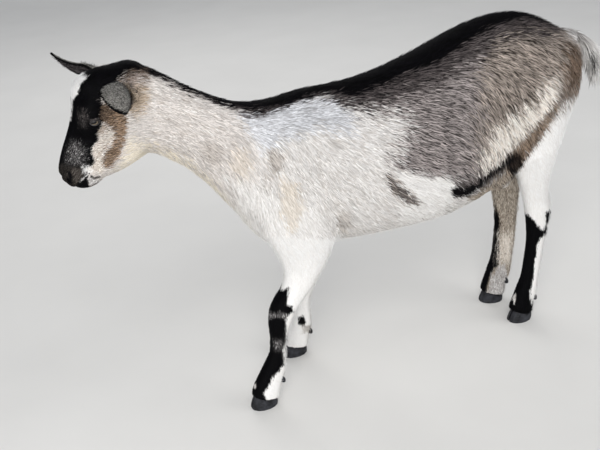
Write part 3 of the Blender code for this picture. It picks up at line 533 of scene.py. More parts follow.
def skin_mesh():
    """The skin with each of its points' owner and place on an ear."""
    mesh = flesh_mesh()
    for centre, radius in FINER_PLACES:
        refined(mesh, centre, radius)
    points = points_of(mesh)
    owner = owners_of(points)
    shares = np.array([SMOOTHING[name] for name in FLESH])[owner] * 0.5
    edges = edges_of(mesh)
    shares = blurred(shares, edges, SHARE_BLUR)
    points = smoothed(points, edges, shares, SMOOTHING_STEPS)
    depth = np.array([COAT_DEPTH[name] for name in FLESH])[owner]
    depth = blurred(depth, edges, DEPTH_BLUR)
    normals = vertex_normals(points, triangles_of(mesh))
    points = with_face(points - normals * depth[:, None], normals)
    points = with_lids(points)
    triangles = triangles_of(mesh)
    chart = np.zeros((len(points), 3))
    bpy.data.meshes.remove(mesh)
    for side, name in zip((-1, 1), EARS):
        own_points, own_triangles, own_chart = ear_shell(side)
        triangles = np.concatenate([triangles, own_triangles + len(points)])
        points = np.concatenate([points, own_points])
        chart = np.concatenate([chart, own_chart])
        owner = np.concatenate([owner, np.full(len(own_points), FLESH.index(name))])
    return mesh_from("skin", points, triangles), owner, chart


def ear_axes(side):
    """Axes of an ear: to its tip, across it, and out of its hollow."""
    tipward = EAR_WAY[side].normalized()
    hollow = (EAR_HOLLOW[side] - tipward * EAR_HOLLOW[side].dot(tipward)).normalized()
    return tipward, tipward.cross(hollow) * side, hollow


def ear_points(side):
    """The two faces of an ear as grids of points, and each point's place on it."""
    tipward, across, hollow = (np.array(axis) for axis in ear_axes(side))
    root = np.array(EAR_ROOT[side]) + tipward * EAR_START
    u = np.linspace(-EAR_SUNK, 1.0, EAR_ROWS + 1)[:, None]
    v = np.linspace(-1.0, 1.0, EAR_COLUMNS + 1)[None, :]
    start = np.maximum(u, 0)
    swell = np.sin(math.pi / 2 * np.minimum(1, start / EAR_WIDEST))
    taper = 1 - (np.maximum(0, u - EAR_WIDEST) / (1 - EAR_WIDEST)) ** EAR_TAPER_POWER
    widening = EAR_BASE_WIDTH + (1 - EAR_BASE_WIDTH) * swell
    half = EAR_HALF_WIDTH * np.maximum(EAR_TIP_WIDTH, widening * taper)
    opening = np.sin(math.pi / 2 * np.minimum(1, start * EAR_OPENING))
    curl = np.radians(EAR_CURL_BASE - EAR_CURL_LOSS * opening)
    radius = half / curl
    arch = np.sin(math.pi * start)
    lean = EAR_ARCH * arch + radius * (1 - start) * EAR_LEAN
    spine = root + tipward * EAR_LENGTH * u[..., None] - hollow * lean[..., None]
    spine = spine + np.array((0, 0, -EAR_BEND[side])) * arch[..., None]
    angle = curl * v
    faces = []
    for skin in (EAR_THICKNESS / 2, -EAR_THICKNESS / 2):
        rim = 1 - EAR_RIM_THINNING * np.abs(v) ** EAR_RIM_POWER
        reach = radius + skin * rim
        flat = across * (reach * np.sin(angle))[..., None]
        faces.append(spine + flat + hollow * (radius - reach * np.cos(angle))[..., None])
    return faces, u + 0 * v, v + 0 * u


def ear_shell(side):
    """An ear as a closed shell: its points, its triangles and each point's place on it."""
    (outer, inner), u, v = ear_points(side)
    rows, columns = EAR_ROWS + 1, EAR_COLUMNS + 1
    index = np.arange(rows * columns).reshape(rows, columns)
    a, b = index[:-1, :-1].ravel(), index[:-1, 1:].ravel()
    c, d = index[1:, 1:].ravel(), index[1:, :-1].ravel()
    front = np.concatenate([np.stack([a, b, c], 1), np.stack([a, c, d], 1)])
    back = front[:, ::-1] + rows * columns
    ring = np.concatenate([index[:-1, 0], index[-1, :-1], index[:0:-1, -1], index[0, :0:-1]])
    following = np.roll(ring, -1)
    edge = np.concatenate([
        np.stack([ring, following, following + rows * columns], 1),
        np.stack([ring, following + rows * columns, ring + rows * columns], 1),
    ])
    triangles = np.concatenate([front, back, edge])
    if side > 0:
        triangles = triangles[:, ::-1]
    points = np.concatenate([outer.reshape(-1, 3), inner.reshape(-1, 3)]) + np.array(SHIFT)
    inside = np.concatenate([np.zeros(u.size), np.ones(u.size)])
    chart = np.stack([np.tile(u.ravel(), 2), np.tile(v.ravel(), 2), inside], 1)
    return points, triangles, chart


class Skin:
    """The skin as arrays, for sowing the coat on it."""

    def __init__(self, mesh, owner, chart):
        self.chart = chart
        self.points = points_of(mesh)
        self.triangles = triangles_of(mesh)
        self.normals = vertex_normals(self.points, self.triangles)
        self.owner = owner[self.triangles[:, 0]]
        corners = self.points[self.triangles]
        across = np.cross(corners[:, 1] - corners[:, 0], corners[:, 2] - corners[:, 0])
        self.area = np.linalg.norm(across, axis=1) / 2
        self.middle = corners.mean(1)
        self.tree = BVHTree.FromPolygons(self.points.tolist(), self.triangles.tolist())

    def sown(self, faces, count, draws):
        """Roots spread evenly over some triangles: places, normals, places on the ear."""
        edge = np.cumsum(self.area[faces])
        picks = (np.arange(count) + draws.random(count)) / count * edge[-1]
        chosen = faces[np.minimum(np.searchsorted(edge, picks), len(faces) - 1)]
        a, b = draws.random(count), draws.random(count)
        flip = a + b > 1
        a, b = np.where(flip, 1 - a, a), np.where(flip, 1 - b, b)
        weight = np.stack([1 - a - b, a, b], 1)[:, :, None]
        place = (self.points[self.triangles[chosen]] * weight).sum(1)
        normal = unit((self.normals[self.triangles[chosen]] * weight).sum(1))
        chart = (self.chart[self.triangles[chosen]] * weight).sum(1)
        return place, normal, chart

    def laid(self, points):
        """The nearest points of the skin and their normals."""
        found = [self.tree.find_nearest(point) for point in points.tolist()]
        place = np.array([hit[0] for hit in found])
        normal = np.array([hit[1] for hit in found])
        return place, normal


# The lie of the coat: place (x, distance from the middle plane, z), the way the
# hair runs there (its y is away from the middle plane), length and lift in degrees

def head_lie(along, side, out, forward, outward, length, lift):
    place = on_head(along, side, out)
    way = HEAD_ALONG * forward + HEAD_OUT * outward
    return (tuple(place), tuple(way), length, lift)


COAT_LIE = (
    head_lie(-0.004, 0.0, 0.010, 0.3, 0.9, 0.0022, 6),
    head_lie(0.020, 0.0, 0.038, 1.0, 0.0, 0.0035, 6),
    head_lie(0.080, 0.0, 0.056, 1.0, 0.0, 0.0050, 7),
    head_lie(0.150, 0.0, 0.072, 1.0, 0.1, 0.0075, 9),
    head_lie(0.200, 0.0, 0.082, 1.0, -0.1, 0.0120, 14),
    head_lie(0.240, 0.0, 0.060, 0.6, -0.9, 0.0160, 12),
    head_lie(0.020, 0.026, 0.010, 1.0, -0.2, 0.0030, 6),
    head_lie(0.020, 0.024, -0.018, 0.9, -0.5, 0.0035, 6),
    head_lie(0.020, 0.0, -0.040, 0.8, -0.6, 0.0080, 14),
    head_lie(0.070, 0.030, 0.020, 0.9, -0.4, 0.0065, 8),
    head_lie(0.080, 0.025, -0.050, 0.8, -0.7, 0.0120, 9),
    head_lie(0.110, 0.042, 0.000, 0.6, -0.8, 0.0105, 9),
    head_lie(0.130, 0.040, 0.055, 0.8, 0.3, 0.0050, 7),
    head_lie(0.165, 0.050, 0.030, 0.6, -0.8, 0.0060, 7),
    head_lie(0.150, 0.045, -0.050, 0.5, -0.9, 0.0150, 9),
    head_lie(0.150, 0.010, -0.095, 0.6, -0.8, 0.0140, 10),
    head_lie(0.200, 0.045, 0.030, 0.5, -0.9, 0.0140, 11),
    ((-0.560, 0.010, 0.845), (0.85, 0.0, -0.50), 0.020, 12),
    ((-0.500, 0.020, 0.800), (0.85, 0.0, -0.50), 0.020, 11),
    ((-0.540, 0.045, 0.750), (0.80, 0.0, -0.60), 0.015, 10),
    ((-0.480, 0.055, 0.700), (0.76, 0.0, -0.65), 0.018, 10),
    ((-0.560, 0.010, 0.665), (0.72, 0.0, -0.70), 0.020, 12),
    ((-0.470, 0.020, 0.590), (0.62, 0.0, -0.78), 0.022, 12),
    ((-0.400, 0.070, 0.640), (0.50, 0.0, -0.86), 0.022, 10),
    ((-0.340, 0.085, 0.560), (0.30, 0.0, -0.95), 0.022, 10),
    ((-0.340, 0.010, 0.730), (0.98, 0.0, -0.18), 0.020, 9),
    ((-0.420, 0.020, 0.500), (0.30, 0.0, -0.95), 0.020, 12),
    ((-0.360, 0.030, 0.400), (0.55, 0.0, -0.83), 0.018, 12),
    ((-0.280, 0.100, 0.600), (0.50, 0.0, -0.86), 0.022, 9),
    ((-0.270, 0.095, 0.450), (0.40, 0.0, -0.92), 0.018, 9),
    ((-0.200, 0.010, 0.745), (1.00, 0.0, -0.02), 0.022, 9),
    ((-0.150, 0.100, 0.660), (0.80, 0.1, -0.60), 0.024, 9),
    ((-0.160, 0.110, 0.500), (0.70, 0.0, -0.72), 0.024, 9),
    ((0.040, 0.010, 0.785), (1.00, 0.0, 0.02), 0.024, 9),
    ((0.040, 0.100, 0.720), (0.93, 0.2, -0.33), 0.026, 10),
    ((0.020, 0.138, 0.580), (0.86, 0.0, -0.50), 0.026, 10),
    ((0.020, 0.110, 0.430), (0.80, -0.2, -0.56), 0.024, 9),
    ((0.000, 0.020, 0.364), (1.00, 0.0, 0.00), 0.016, 7),
    ((-0.240, 0.020, 0.372), (1.00, 0.0, -0.10), 0.016, 8),
    ((0.190, 0.120, 0.650), (0.45, 0.0, -0.90), 0.026, 10),
    ((0.200, 0.120, 0.520), (0.40, 0.0, -0.92), 0.024, 10),
    ((0.180, 0.060, 0.400), (0.90, 0.0, -0.20), 0.016, 8),
    ((0.250, 0.020, 0.842), (0.99, 0.0, -0.10), 0.026, 10),
    ((0.380, 0.020, 0.818), (0.90, 0.0, -0.42), 0.028, 12),
    ((0.330, 0.085, 0.750), (0.80, 0.1, -0.60), 0.028, 11),
    ((0.320, 0.105, 0.630), (0.62, 0.0, -0.78), 0.024, 10),
    ((0.450, 0.045, 0.720), (0.55, 0.2, -0.82), 0.028, 13),
    ((0.460, 0.030, 0.620), (0.15, 0.3, -0.95), 0.024, 12),
    ((0.420, 0.080, 0.560), (0.15, 0.0, -0.98), 0.020, 10),
    ((0.330, 0.100, 0.500), (0.45, 0.0, -0.88), 0.018, 9),
    ((0.350, 0.020, 0.500), (0.20, 0.0, -0.98), 0.012, 8),
)
LIE_REACH = 0.02                 # metres within which one entry of the table rules alone
LEG_LIE = (                      # height on a leg and length of the hair there
    (0.02, 0.009), (0.08, 0.009), (0.14, 0.007), (0.24, 0.009), (0.34, 0.012), (0.42, 0.016),
)
LEG_WAY = (0.06, 0.0, -1.0)
LEG_FACES_BACK = (0.3, 0.9)      # x of the skin's normal, between which it counts as behind
LEG_LIFT = 8.0
LEG_BEHIND = (0.004, 16)         # hair behind the legs is longer and lifts more by this
LEG_BLEND = (0.34, 0.44)         # heights between which a leg's own lie takes over


def mirrored(vectors, side):
    """Vectors with their y turned over where the side is -1."""
    return vectors * np.stack([np.ones(len(side)), side, np.ones(len(side))], 1)


def laid_flat(way, normals):
    """Directions along the skin."""
    return unit(way - normals * dot(way, normals)[:, None])


def lie_of(places, normals):
    """The way the hair runs along the skin, its length and its lift, at some places."""
    own = places - np.array(SHIFT)
    side = np.where(own[:, 1] < 0, -1.0, 1.0)
    folded = mirrored(own, side)
    total = np.zeros((len(own), 5))
    weights = np.zeros(len(own))
    for place, way, length, lift in COAT_LIE:
        gap = ((folded - np.array(place)) ** 2).sum(1)
        weight = 1 / (gap + LIE_REACH ** 2) ** 2
        way = Vector(way).normalized()
        total += weight[:, None] * np.array([*way, length, lift])
        weights += weight
    total /= weights[:, None]
    on_leg = smoothstep(LEG_BLEND[1], LEG_BLEND[0], own[:, 2])
    behind = smoothstep(*LEG_FACES_BACK, normals[:, 0])
    leg = np.empty((len(own), 5))
    leg[:, :3] = LEG_WAY
    leg[:, 3] = np.interp(own[:, 2], *zip(*LEG_LIE)) + LEG_BEHIND[0] * behind
    leg[:, 4] = LEG_LIFT + LEG_BEHIND[1] * behind
    total += (leg - total) * on_leg[:, None]
    return laid_flat(mirrored(total[:, :3], side), normals), total[:, 3], total[:, 4]


EAR_FAN = 0.35                   # hair outside runs off to the rims by this
EAR_CROSSING = 1.1               # hair inside crosses the hollow by this,
EAR_CROSSING_FROM = 0.45         # from this share of the half width on
EAR_FRINGE_FROM = 0.55           # and it is longer and lifts more from this share on
EAR_HAIR, EAR_INNER_HAIR, EAR_FRINGE_HAIR = 0.0085, 0.004, 0.010
EAR_LIFT, EAR_INNER_LIFT, EAR_FRINGE_LIFT = 8.0, 12.0, 14.0
EAR_BASE = 0.30                  # share of the length over which the base has longer hair
EAR_BASE_HAIR, EAR_BASE_LIFT = 0.007, 24
EAR_SHORTENING = 0.35            # share of the hair's length that is lost at the tip


def ear_lie(name, normals, chart):
    """Hair on an ear runs to its tip outside, and from its front rim across its hollow."""
    side = -1 if name == "ear_left" else 1
    tipward, across, _ = (np.array(axis) for axis in ear_axes(side))
    u, v, inside = chart.T
    way = tipward + across * (EAR_FAN * v * (1 - inside))[:, None]
    crossing = np.sign(v) * inside * (np.abs(v) > EAR_CROSSING_FROM)
    way = laid_flat(way - across * (EAR_CROSSING * crossing)[:, None], normals)
    base = smoothstep(EAR_BASE, 0.0, u) * (inside < 0.5)
    fringe = np.abs(v) > EAR_FRINGE_FROM
    length = np.where(inside > 0.5, EAR_INNER_HAIR + EAR_FRINGE_HAIR * fringe, EAR_HAIR)
    lift = np.where(inside > 0.5, EAR_INNER_LIFT + EAR_FRINGE_LIFT * fringe, EAR_LIFT)
    length = length * (1 - EAR_SHORTENING * u) + EAR_BASE_HAIR * base
    return way, length, lift + EAR_BASE_LIFT * base


# Markings, as outlines in the photograph. The side that it doesn't show is marked the same

def seen(own):
    """Where the camera sees points that are given in the goat's own axes."""
    away = own - np.array(CAMERA_PLACE)
    ahead = away @ np.array(CAMERA_AHEAD)
    px = PHOTO_WIDTH / 2 + PIXELS * (away @ np.array(CAMERA_RIGHT)) / ahead
    py = PHOTO_HEIGHT / 2 - PIXELS * (away @ np.array(CAMERA_UP)) / ahead
    return px, py


def depth_in(outline, px, py):
    """How many pixels points lie inside an outline, negative outside it."""
    corners = np.array(outline, float)
    inside = np.zeros(len(px), bool)
    nearest = np.full(len(px), 1e9)
    for (x1, y1), (x2, y2) in zip(corners, np.roll(corners, -1, axis=0)):
        crosses = (y1 > py) != (y2 > py)
        rise = y2 - y1 if y2 != y1 else 1e-9
        inside ^= crosses & (px < (x2 - x1) * (py - y1) / rise + x1)
        run = max((x2 - x1) ** 2 + (y2 - y1) ** 2, 1e-9)
        share = np.clip(((px - x1) * (x2 - x1) + (py - y1) * (y2 - y1)) / run, 0, 1)
        gap = np.hypot(px - x1 - share * (x2 - x1), py - y1 - share * (y2 - y1))
        nearest = np.minimum(nearest, gap)
    return np.where(inside, nearest, -nearest)


def hair(root, tip, vary):
    """A paint: colours of a tuft's root and tip, 0 to 255, and how far tufts differ in shade. The
    darker roots are the dark undercoat on the roan, and painted shade deep in the coat on the light
    paints.
    """
    return linear(root), linear(tip), vary


BLACK = hair((2, 2, 3), (7, 6, 9), 0.4)
ROAN = hair((22, 18, 17), (166, 157, 154), 0.36)
ROAN_DARK = hair((12, 11, 12), (88, 81, 80), 0.35)
ROAN_WARM = hair((27, 22, 18), (172, 160, 150), 0.36)
WHITE = hair((190, 184, 178), (233, 230, 227), 0.16)
PURE_WHITE = hair((232, 229, 225), (247, 246, 244), 0.03)
CREAM = hair((214, 201, 178), (240, 231, 213), 0.07)
BELLY_PAINT = hair((216, 212, 207), (242, 240, 237), 0.06)
WITHERS_GREY = hair((164, 164, 167), (226, 228, 233), 0.18)
UDDER_SHADE = hair((70, 60, 52), (172, 160, 146), 0.25)
NECK_WHITE = hair((180, 171, 163), (228, 222, 217), 0.20)
GREY_STREAK = hair((150, 144, 138), (205, 200, 195), 0.10)
GREY_SPOT = hair((112, 104, 97), (196, 187, 178), 0.16)
BEIGE = hair((186, 168, 142), (226, 212, 192), 0.08)
THIGH_CREAM = hair((206, 194, 180), (246, 241, 234), 0.08)
BROWN_STREAK = hair((48, 36, 28), (140, 120, 102), 0.30)
RUMP_BROWN = hair((38, 28, 22), (116, 97, 82), 0.30)
FACE_BROWN = hair((50, 36, 27), (158, 134, 112), 0.34)
BAND_DARK = hair((18, 13, 11), (104, 88, 74), 0.40)
GRIZZLE_HAIR = hair((60, 57, 57), (196, 192, 190), 0.30)
# grey, and painted highlights on the brow ridge and on the upper lid
FACE_GREY_AND_HIGHLIGHT = hair((36, 32, 32), (128, 122, 119), 0.35)
MUZZLE_DARK = hair((9, 8, 8), (56, 52, 48), 0.50)
MUZZLE_BROWN = hair((20, 18, 17), (98, 91, 85), 0.50)
CHEEK_PAINT = hair((164, 148, 132), (244, 238, 230), 0.24)
LIGHT_HAIR = hair((120, 114, 110), (232, 229, 226), 0.25)
EAR_GREY = hair((54, 52, 50), (164, 161, 155), 0.17)
EAR_INSIDE = hair((34, 31, 33), (112, 106, 108), 0.35)
BEHIND_EAR = hair((108, 89, 71), (204, 185, 162), 0.22)
NAPE = hair((52, 43, 39), (164, 150, 141), 0.35)
MEDIAL = hair((104, 92, 80), (202, 192, 178), 0.24)

ROAN_OUTLINE = (
    (330, 88), (345, 97), (352, 103), (362, 107), (380, 109), (398, 111), (408, 118),
    (412, 128), (408, 140), (403, 150), (397, 160), (400, 170), (410, 173), (420, 176),
    (428, 180), (437, 177), (450, 182), (480, 190), (520, 170), (600, 120), (640, 20),
    (520, -30), (330, 40),
)
BACK_EDGE = (
    (140, 70), (150, 72.5), (160, 76.5), (170, 82), (180, 87), (190, 91), (200, 95), (210, 99),
    (220, 102.5), (230, 105), (245, 109), (258, 109.5), (270, 107), (285, 102), (295, 99.5),
    (305, 96.5), (320, 92), (335, 92), (345, 94), (360, 92), (380, 84.5), (400, 75), (420, 68),
    (440, 60), (450, 53), (460, 45), (470, 38), (480, 32), (490, 27), (500, 23), (510, 20),
    (520, 17), (530, 18), (545, 22), (556, 25), (562, 20),
)
DARK_BELOW_BACK = (              # how far the dark below the back's edge reaches, in pixels
    (220, 3), (250, 6), (262, 8), (300, 4), (325, 8), (350, 16), (400, 24), (500, 22), (560, 12),
)
SIDE_SPOT = (
    (386, 172), (396, 180), (408, 190), (421, 204), (417, 207), (405, 203), (393, 194), (386, 184),
)
BELLY_WHITE = (
    (398, 171), (412, 173), (428, 180), (440, 177), (452, 182), (454, 200), (440, 215), (400, 225),
)
# Painted shade: the dark line in the fold between the flank and the thigh
FLANK_FOLD_SHADE = (
    (451, 188), (464, 188), (478, 181), (493, 170), (504, 161), (514, 155), (513, 160),
    (504, 166), (493, 174), (482, 184), (471, 193), (460, 197), (452, 196),
)
THIGH_PATCH = (
    (484, 172), (484, 160), (488, 148), (493, 137), (501, 128), (512, 119), (525, 110), (538, 100),
    (549, 88), (556, 78), (562, 80), (566, 92), (560, 102), (547, 115), (534, 127),
    (518, 144), (509, 155), (500, 164),
)
THIGH_STREAK = (
    (556, 103), (545, 117), (535, 128), (525, 138), (514, 149), (505, 157), (508, 172),
    (522, 165), (528, 152), (535, 143), (543, 130), (550, 120), (557, 111),
)
THIGH_BLACK = ((505, 157), (514, 152), (522, 155), (522, 166), (516, 172), (508, 172))
# painted shadow: a dark line in the gap between the near hind leg and the far one's inner thigh
THIGH_GAP_SHADOW = (
    (509, 168), (516, 168), (519, 180), (523, 190), (524, 205), (525, 216), (520, 216), (516, 196),
    (512, 182),
)
RUMP_PATCH = (
    (566, 44), (574, 46), (583, 54), (588, 66), (584, 78), (577, 88), (570, 98), (560, 108),
    (556, 102), (562, 84), (565, 66),
)
TAIL_ROOT_PALE = (
    (560, 24), (575, 26), (590, 32), (604, 50), (604, 70), (594, 58), (586, 47), (576, 43), (568, 38),
)
THIGH_WHITE = (
    (560, 97), (576, 96), (590, 110), (580, 260), (500, 260), (523, 210), (519, 190), (516, 174),
    (524, 163), (532, 152), (539, 142), (547, 130), (556, 114),
)
WITHERS = (
    (236, 112), (262, 100), (300, 92), (340, 96), (356, 118), (352, 136), (322, 128), (286, 140),
    (262, 150),
)
UDDER = (
    (468, 197), (484, 187), (496, 177), (506, 166), (516, 160), (523, 172), (524, 192), (500, 204),
    (480, 206),
)
NECK_SPOT = ((200, 146), (208, 141), (220, 143), (223, 155), (216, 165), (204, 162))
SHOULDER_SPOT = ((268, 154), (275, 151), (283, 156), (281, 168), (275, 176), (269, 168))
SHOULDER_TINT = ((232, 150), (248, 148), (252, 168), (242, 178), (230, 170))
CHEST_WHITE = (
    (226, 178), (256, 186), (292, 200), (322, 214), (330, 240), (318, 275), (262, 275), (240, 240),
)
CHEST_TINT = ((282, 180), (298, 184), (302, 214), (292, 232), (280, 214))
ELBOW_SMUDGE = ((338, 214), (348, 210), (352, 224), (344, 232), (337, 228))
THROAT_CREAM = (
    (128, 140), (150, 148), (180, 156), (205, 178), (228, 196), (250, 222), (262, 240), (240, 280),
    (180, 220), (120, 170),
)


NECK_ENDS = 262                  # columns and rows of the photograph
WARM_FROM = 480
FOLD_BOTTOM = 192
THIGH_SOFT = (140, 105)          # rows between which the thigh's edge grows soft
CHANCE_STEEPNESS = 4             # how sharply a tuft takes or leaves a layer
CHANCE_RANGE = (0.125, 0.875)


def near_side(own):
    """Points folded over to the side that the photograph shows."""
    return own * (1, 0, 1) - np.abs(own) * (0, 1, 0)


class Canvas:
    """Root and tip colours of some tufts and how much they vary, painted layer by layer.
    Each tuft takes a layer or leaves it by chance where the layer's edge is soft."""

    def __init__(self, count, paint, streak, chance=None, shown_at=None):
        self.root = np.tile(paint[0], (count, 1))
        self.tip = np.tile(paint[1], (count, 1))
        self.vary = np.full(count, paint[2])
        self.streak = streak
        self.chance = chance
        self.shown_at = shown_at

    def lay(self, paint, share):
        self.vary += (paint[2] - self.vary) * share
        share = share[:, None]
        self.root += (paint[0] - self.root) * share
        self.tip += (paint[1] - self.tip) * share

    def patch(self, paint, depth, soft, ragged=0.0, strength=1.0, some=1.0):
        """Paint where the depth in an outline is above 0, on some of the tufts there."""
        share = smoothstep(-soft, soft, depth + self.streak * ragged) * some
        if self.chance is not None:
            share = np.clip((share - self.chance) * CHANCE_STEEPNESS + 0.5, 0, 1)
        self.lay(paint, share * strength)

    def fill(self, paint, outline, *edge):
        """Paint inside an outline in the photograph. The edge is its softness in pixels, and
        may add how ragged it is, the paint's strength and the share of tufts that take it."""
        self.patch(paint, depth_in(outline, *self.shown_at), *edge)

    def blend(self, other, share):
        self.vary += (other.vary - self.vary) * share
        self.root += (other.root - self.root) * share[:, None]
        self.tip += (other.tip - self.tip) * share[:, None]


def body_paint(own, streak, chance):
    """Colours of the torso, the neck and the upper legs."""
    px, py = seen(near_side(own))
    canvas = Canvas(len(own), WHITE, streak, chance, (px, py))
    canvas.patch(NECK_WHITE, NECK_ENDS - px, 40)
    canvas.lay(GREY_STREAK, smoothstep(0.2, 1.2, streak) * 0.6)
    canvas.fill(CREAM, THROAT_CREAM, 16, 4, 0.9)
    canvas.fill(WITHERS_GREY, WITHERS, 12, 5, 0.8)
    canvas.fill(BELLY_PAINT, CHEST_WHITE, 14, 5, 0.8, 0.85)
    canvas.fill(BEIGE, SHOULDER_TINT, 9, 3, 0.35)
    canvas.fill(BEIGE, CHEST_TINT, 8, 3, 0.45)
    canvas.fill(GREY_SPOT, NECK_SPOT, 7, 3, 0.6)
    canvas.fill(GREY_SPOT, SHOULDER_SPOT, 5, 3, 0.75)
    canvas.fill(GREY_SPOT, ELBOW_SMUDGE, 5, 2, 0.6)
    roan = depth_in(ROAN_OUTLINE, px, py)
    fold = depth_in(FLANK_FOLD_SHADE, px, py)
    canvas.patch(ROAN, roan + 3, 20, 9)
    canvas.patch(ROAN_WARM, np.minimum(roan, px - WARM_FROM), 20, 6)
    above = np.interp(px, *zip(*BACK_EDGE)) - py
    reach = np.interp(px, *zip(*DARK_BELOW_BACK))
    canvas.patch(ROAN_DARK, above + reach, reach, 3)
    # darker roan round the flank's fold, painted shade deepening into it
    canvas.patch(ROAN_DARK, np.minimum(fold + 9, FOLD_BOTTOM - py), 9, 3, 0.8)
    canvas.fill(BELLY_PAINT, BELLY_WHITE, 3, 3)
    canvas.fill(ROAN_WARM, SIDE_SPOT, 5, 3, 0.9, 0.95)
    canvas.patch(ROAN_DARK, depth_in(SIDE_SPOT, px, py) - 1, 3, 2, 0.9, 0.6)
    canvas.fill(THIGH_CREAM, THIGH_PATCH, 15, 6)
    canvas.fill(UDDER_SHADE, UDDER, 4, 2)
    canvas.fill(PURE_WHITE, THIGH_WHITE, 3 + 5 * smoothstep(*THIGH_SOFT, py), 2)
    canvas.fill(RUMP_BROWN, RUMP_PATCH, 13, 4, 0.9)
    canvas.fill(BROWN_STREAK, THIGH_STREAK, 5, 2, 0.9)
    canvas.fill(LIGHT_HAIR, TAIL_ROOT_PALE, 5, 3, 0.9)
    canvas.fill(BLACK, THIGH_BLACK, 2.5, 1, 0.9)
    # painted shadow between the hind legs
    canvas.fill(BLACK, THIGH_GAP_SHADOW, 1.5, 1, 0.8)
    # black painted shade in the fold itself
    canvas.patch(BLACK, fold + 0.5, 2.5, 1)
    canvas.patch(BLACK, above + 2, 5, 3)
    return canvas


# The head

CROWN_BLACK = (
    (60, 50), (150, 55), (162, 70), (161, 77), (152, 71.5), (144, 69.5), (136, 69), (129, 71),
    (123, 75), (118, 80), (114, 84.5), (108, 87.5), (101, 91), (103, 99), (101, 108), (100, 116),
    (102, 122), (101, 127),
    (98.5, 130), (97.5, 133), (98.5, 137), (96, 142.5), (91.5, 148), (92, 155), (95, 161),
    (92, 166), (88, 168), (90, 190), (50, 200), (50, 60),
)
FACE_BAND = (
    (96, 102), (107, 105), (113, 108), (120, 110), (125.5, 113), (126.5, 121), (126, 131),
    (125.5, 138), (123, 147), (119, 156), (114, 164), (109, 168), (104.5, 167), (102.5, 161),
    (103, 156), (106, 150), (110, 146), (113, 142), (114.5, 137), (113, 132), (110, 128),
    (105, 124), (97, 122),
)
BAND_SHADE = ((96, 100), (108, 104), (114, 110), (110, 118), (104, 123), (97, 124))
UNDER_EYE = ((89, 126), (96, 128), (102, 124), (107, 127), (106, 133), (98, 134), (91, 131))
FOREHEAD_WHITE = (
    (87.5, 77.5), (80, 75), (66, 84), (66, 92), (69, 99), (72.6, 101), (74.7, 97.9), (77.6, 94.3),
    (79.4, 90), (80.4, 84.3), (85.4, 80),
)
PROFILE_LINE = ((66, 96), (73.5, 99), (72.6, 110), (71.5, 121), (65, 122))
# painted highlight: light caught on the brow ridge over the black round the eye
BROW_RIDGE_HIGHLIGHT = ((80, 109), (86, 110), (88, 118), (86, 127), (81, 127), (79, 118))
BROW_CRESCENT = ((94, 98), (98, 98), (102, 101), (105, 105.5), (101, 104.5), (97, 101.5))
CROWN_SOFT = (
    (106, 92), (112, 84), (119, 75), (126, 68), (140, 63), (155, 66), (158, 74), (149, 79), (141, 84),
    (134, 89), (124, 92),
)
NOSE_GRIZZLE = ((67, 146), (72, 139), (80, 141), (87, 150), (88, 160), (84, 167), (74, 168), (65, 165))
NOSE_DARK = (
    (50, 165), (64, 164), (72, 167), (82, 166), (84, 172), (82, 177), (78, 183), (76, 192), (50, 192),
)
MUZZLE_SIDE = ((72, 168), (82, 167), (83, 173), (82, 178), (77, 183), (74, 182), (72, 175))
NOSE_STRIPE = ((67, 171), (70.5, 172), (72.5, 177), (71.5, 183), (68, 184), (69.5, 178))
LIP_CORNER = ((82, 167), (86, 165), (91, 166), (91, 171), (87, 174), (83, 173))
LIP_EDGE = (
    (79, 181.5), (82.5, 178), (86, 175), (89.5, 171.5), (93, 169), (94.5, 170.5), (90.5, 173.2),
    (87, 176), (83.5, 179.2), (80, 182.5),
)
LIP_BLACK = ((78, 183.5), (83, 179.3), (86.5, 179.5), (88.5, 183), (89.5, 186.5), (86, 190), (77, 191))
CHIN_WHITE = ((87, 178), (91, 175.3), (95, 179.3), (101, 178.5), (99, 183), (93, 186), (89, 185.5))
CHIN_LINE = ((90, 175), (94, 176.8), (99.5, 175.8), (101, 177), (95, 179.2), (91, 177.6))
# painted shadow along the lower edge of the chin
CHIN_UNDER_SHADOW = ((86, 187), (93, 185), (98, 182.3), (103, 177.5), (106, 179), (100, 187), (90, 192))
CHEEK_CREAM = (
    (101, 126), (105, 125), (110, 128), (114, 132), (117, 137), (116, 141), (110, 145), (105, 149),
    (102.5, 155), (102, 161), (104, 167), (103, 172), (94, 173), (91.5, 167), (94, 161), (91.5, 155),
    (91, 148), (96, 142.5), (98.5, 137), (94, 133), (94, 130),
)
EAR_BEIGE = ((124, 86), (130, 80), (138, 78), (146, 86), (149, 98), (144, 111), (134, 115), (122, 112))
# painted highlight on the upper lid, above the opening
BROW_SHINE = ((90, 120), (94, 119), (99, 118), (99, 121.5), (94, 122.5), (90.5, 122.5))


CROWN_BEHIND = 108               # column from which on the crown's edge is softer
NOSTRIL_BLACK = (0.8, 1.15)      # of its outline, between which the black round it ends
MOUTH_BLACK = (0.0009, 0.0022)   # metres off the mouth, between which its black ends
LID_MARGIN_SOFT = 0.0003


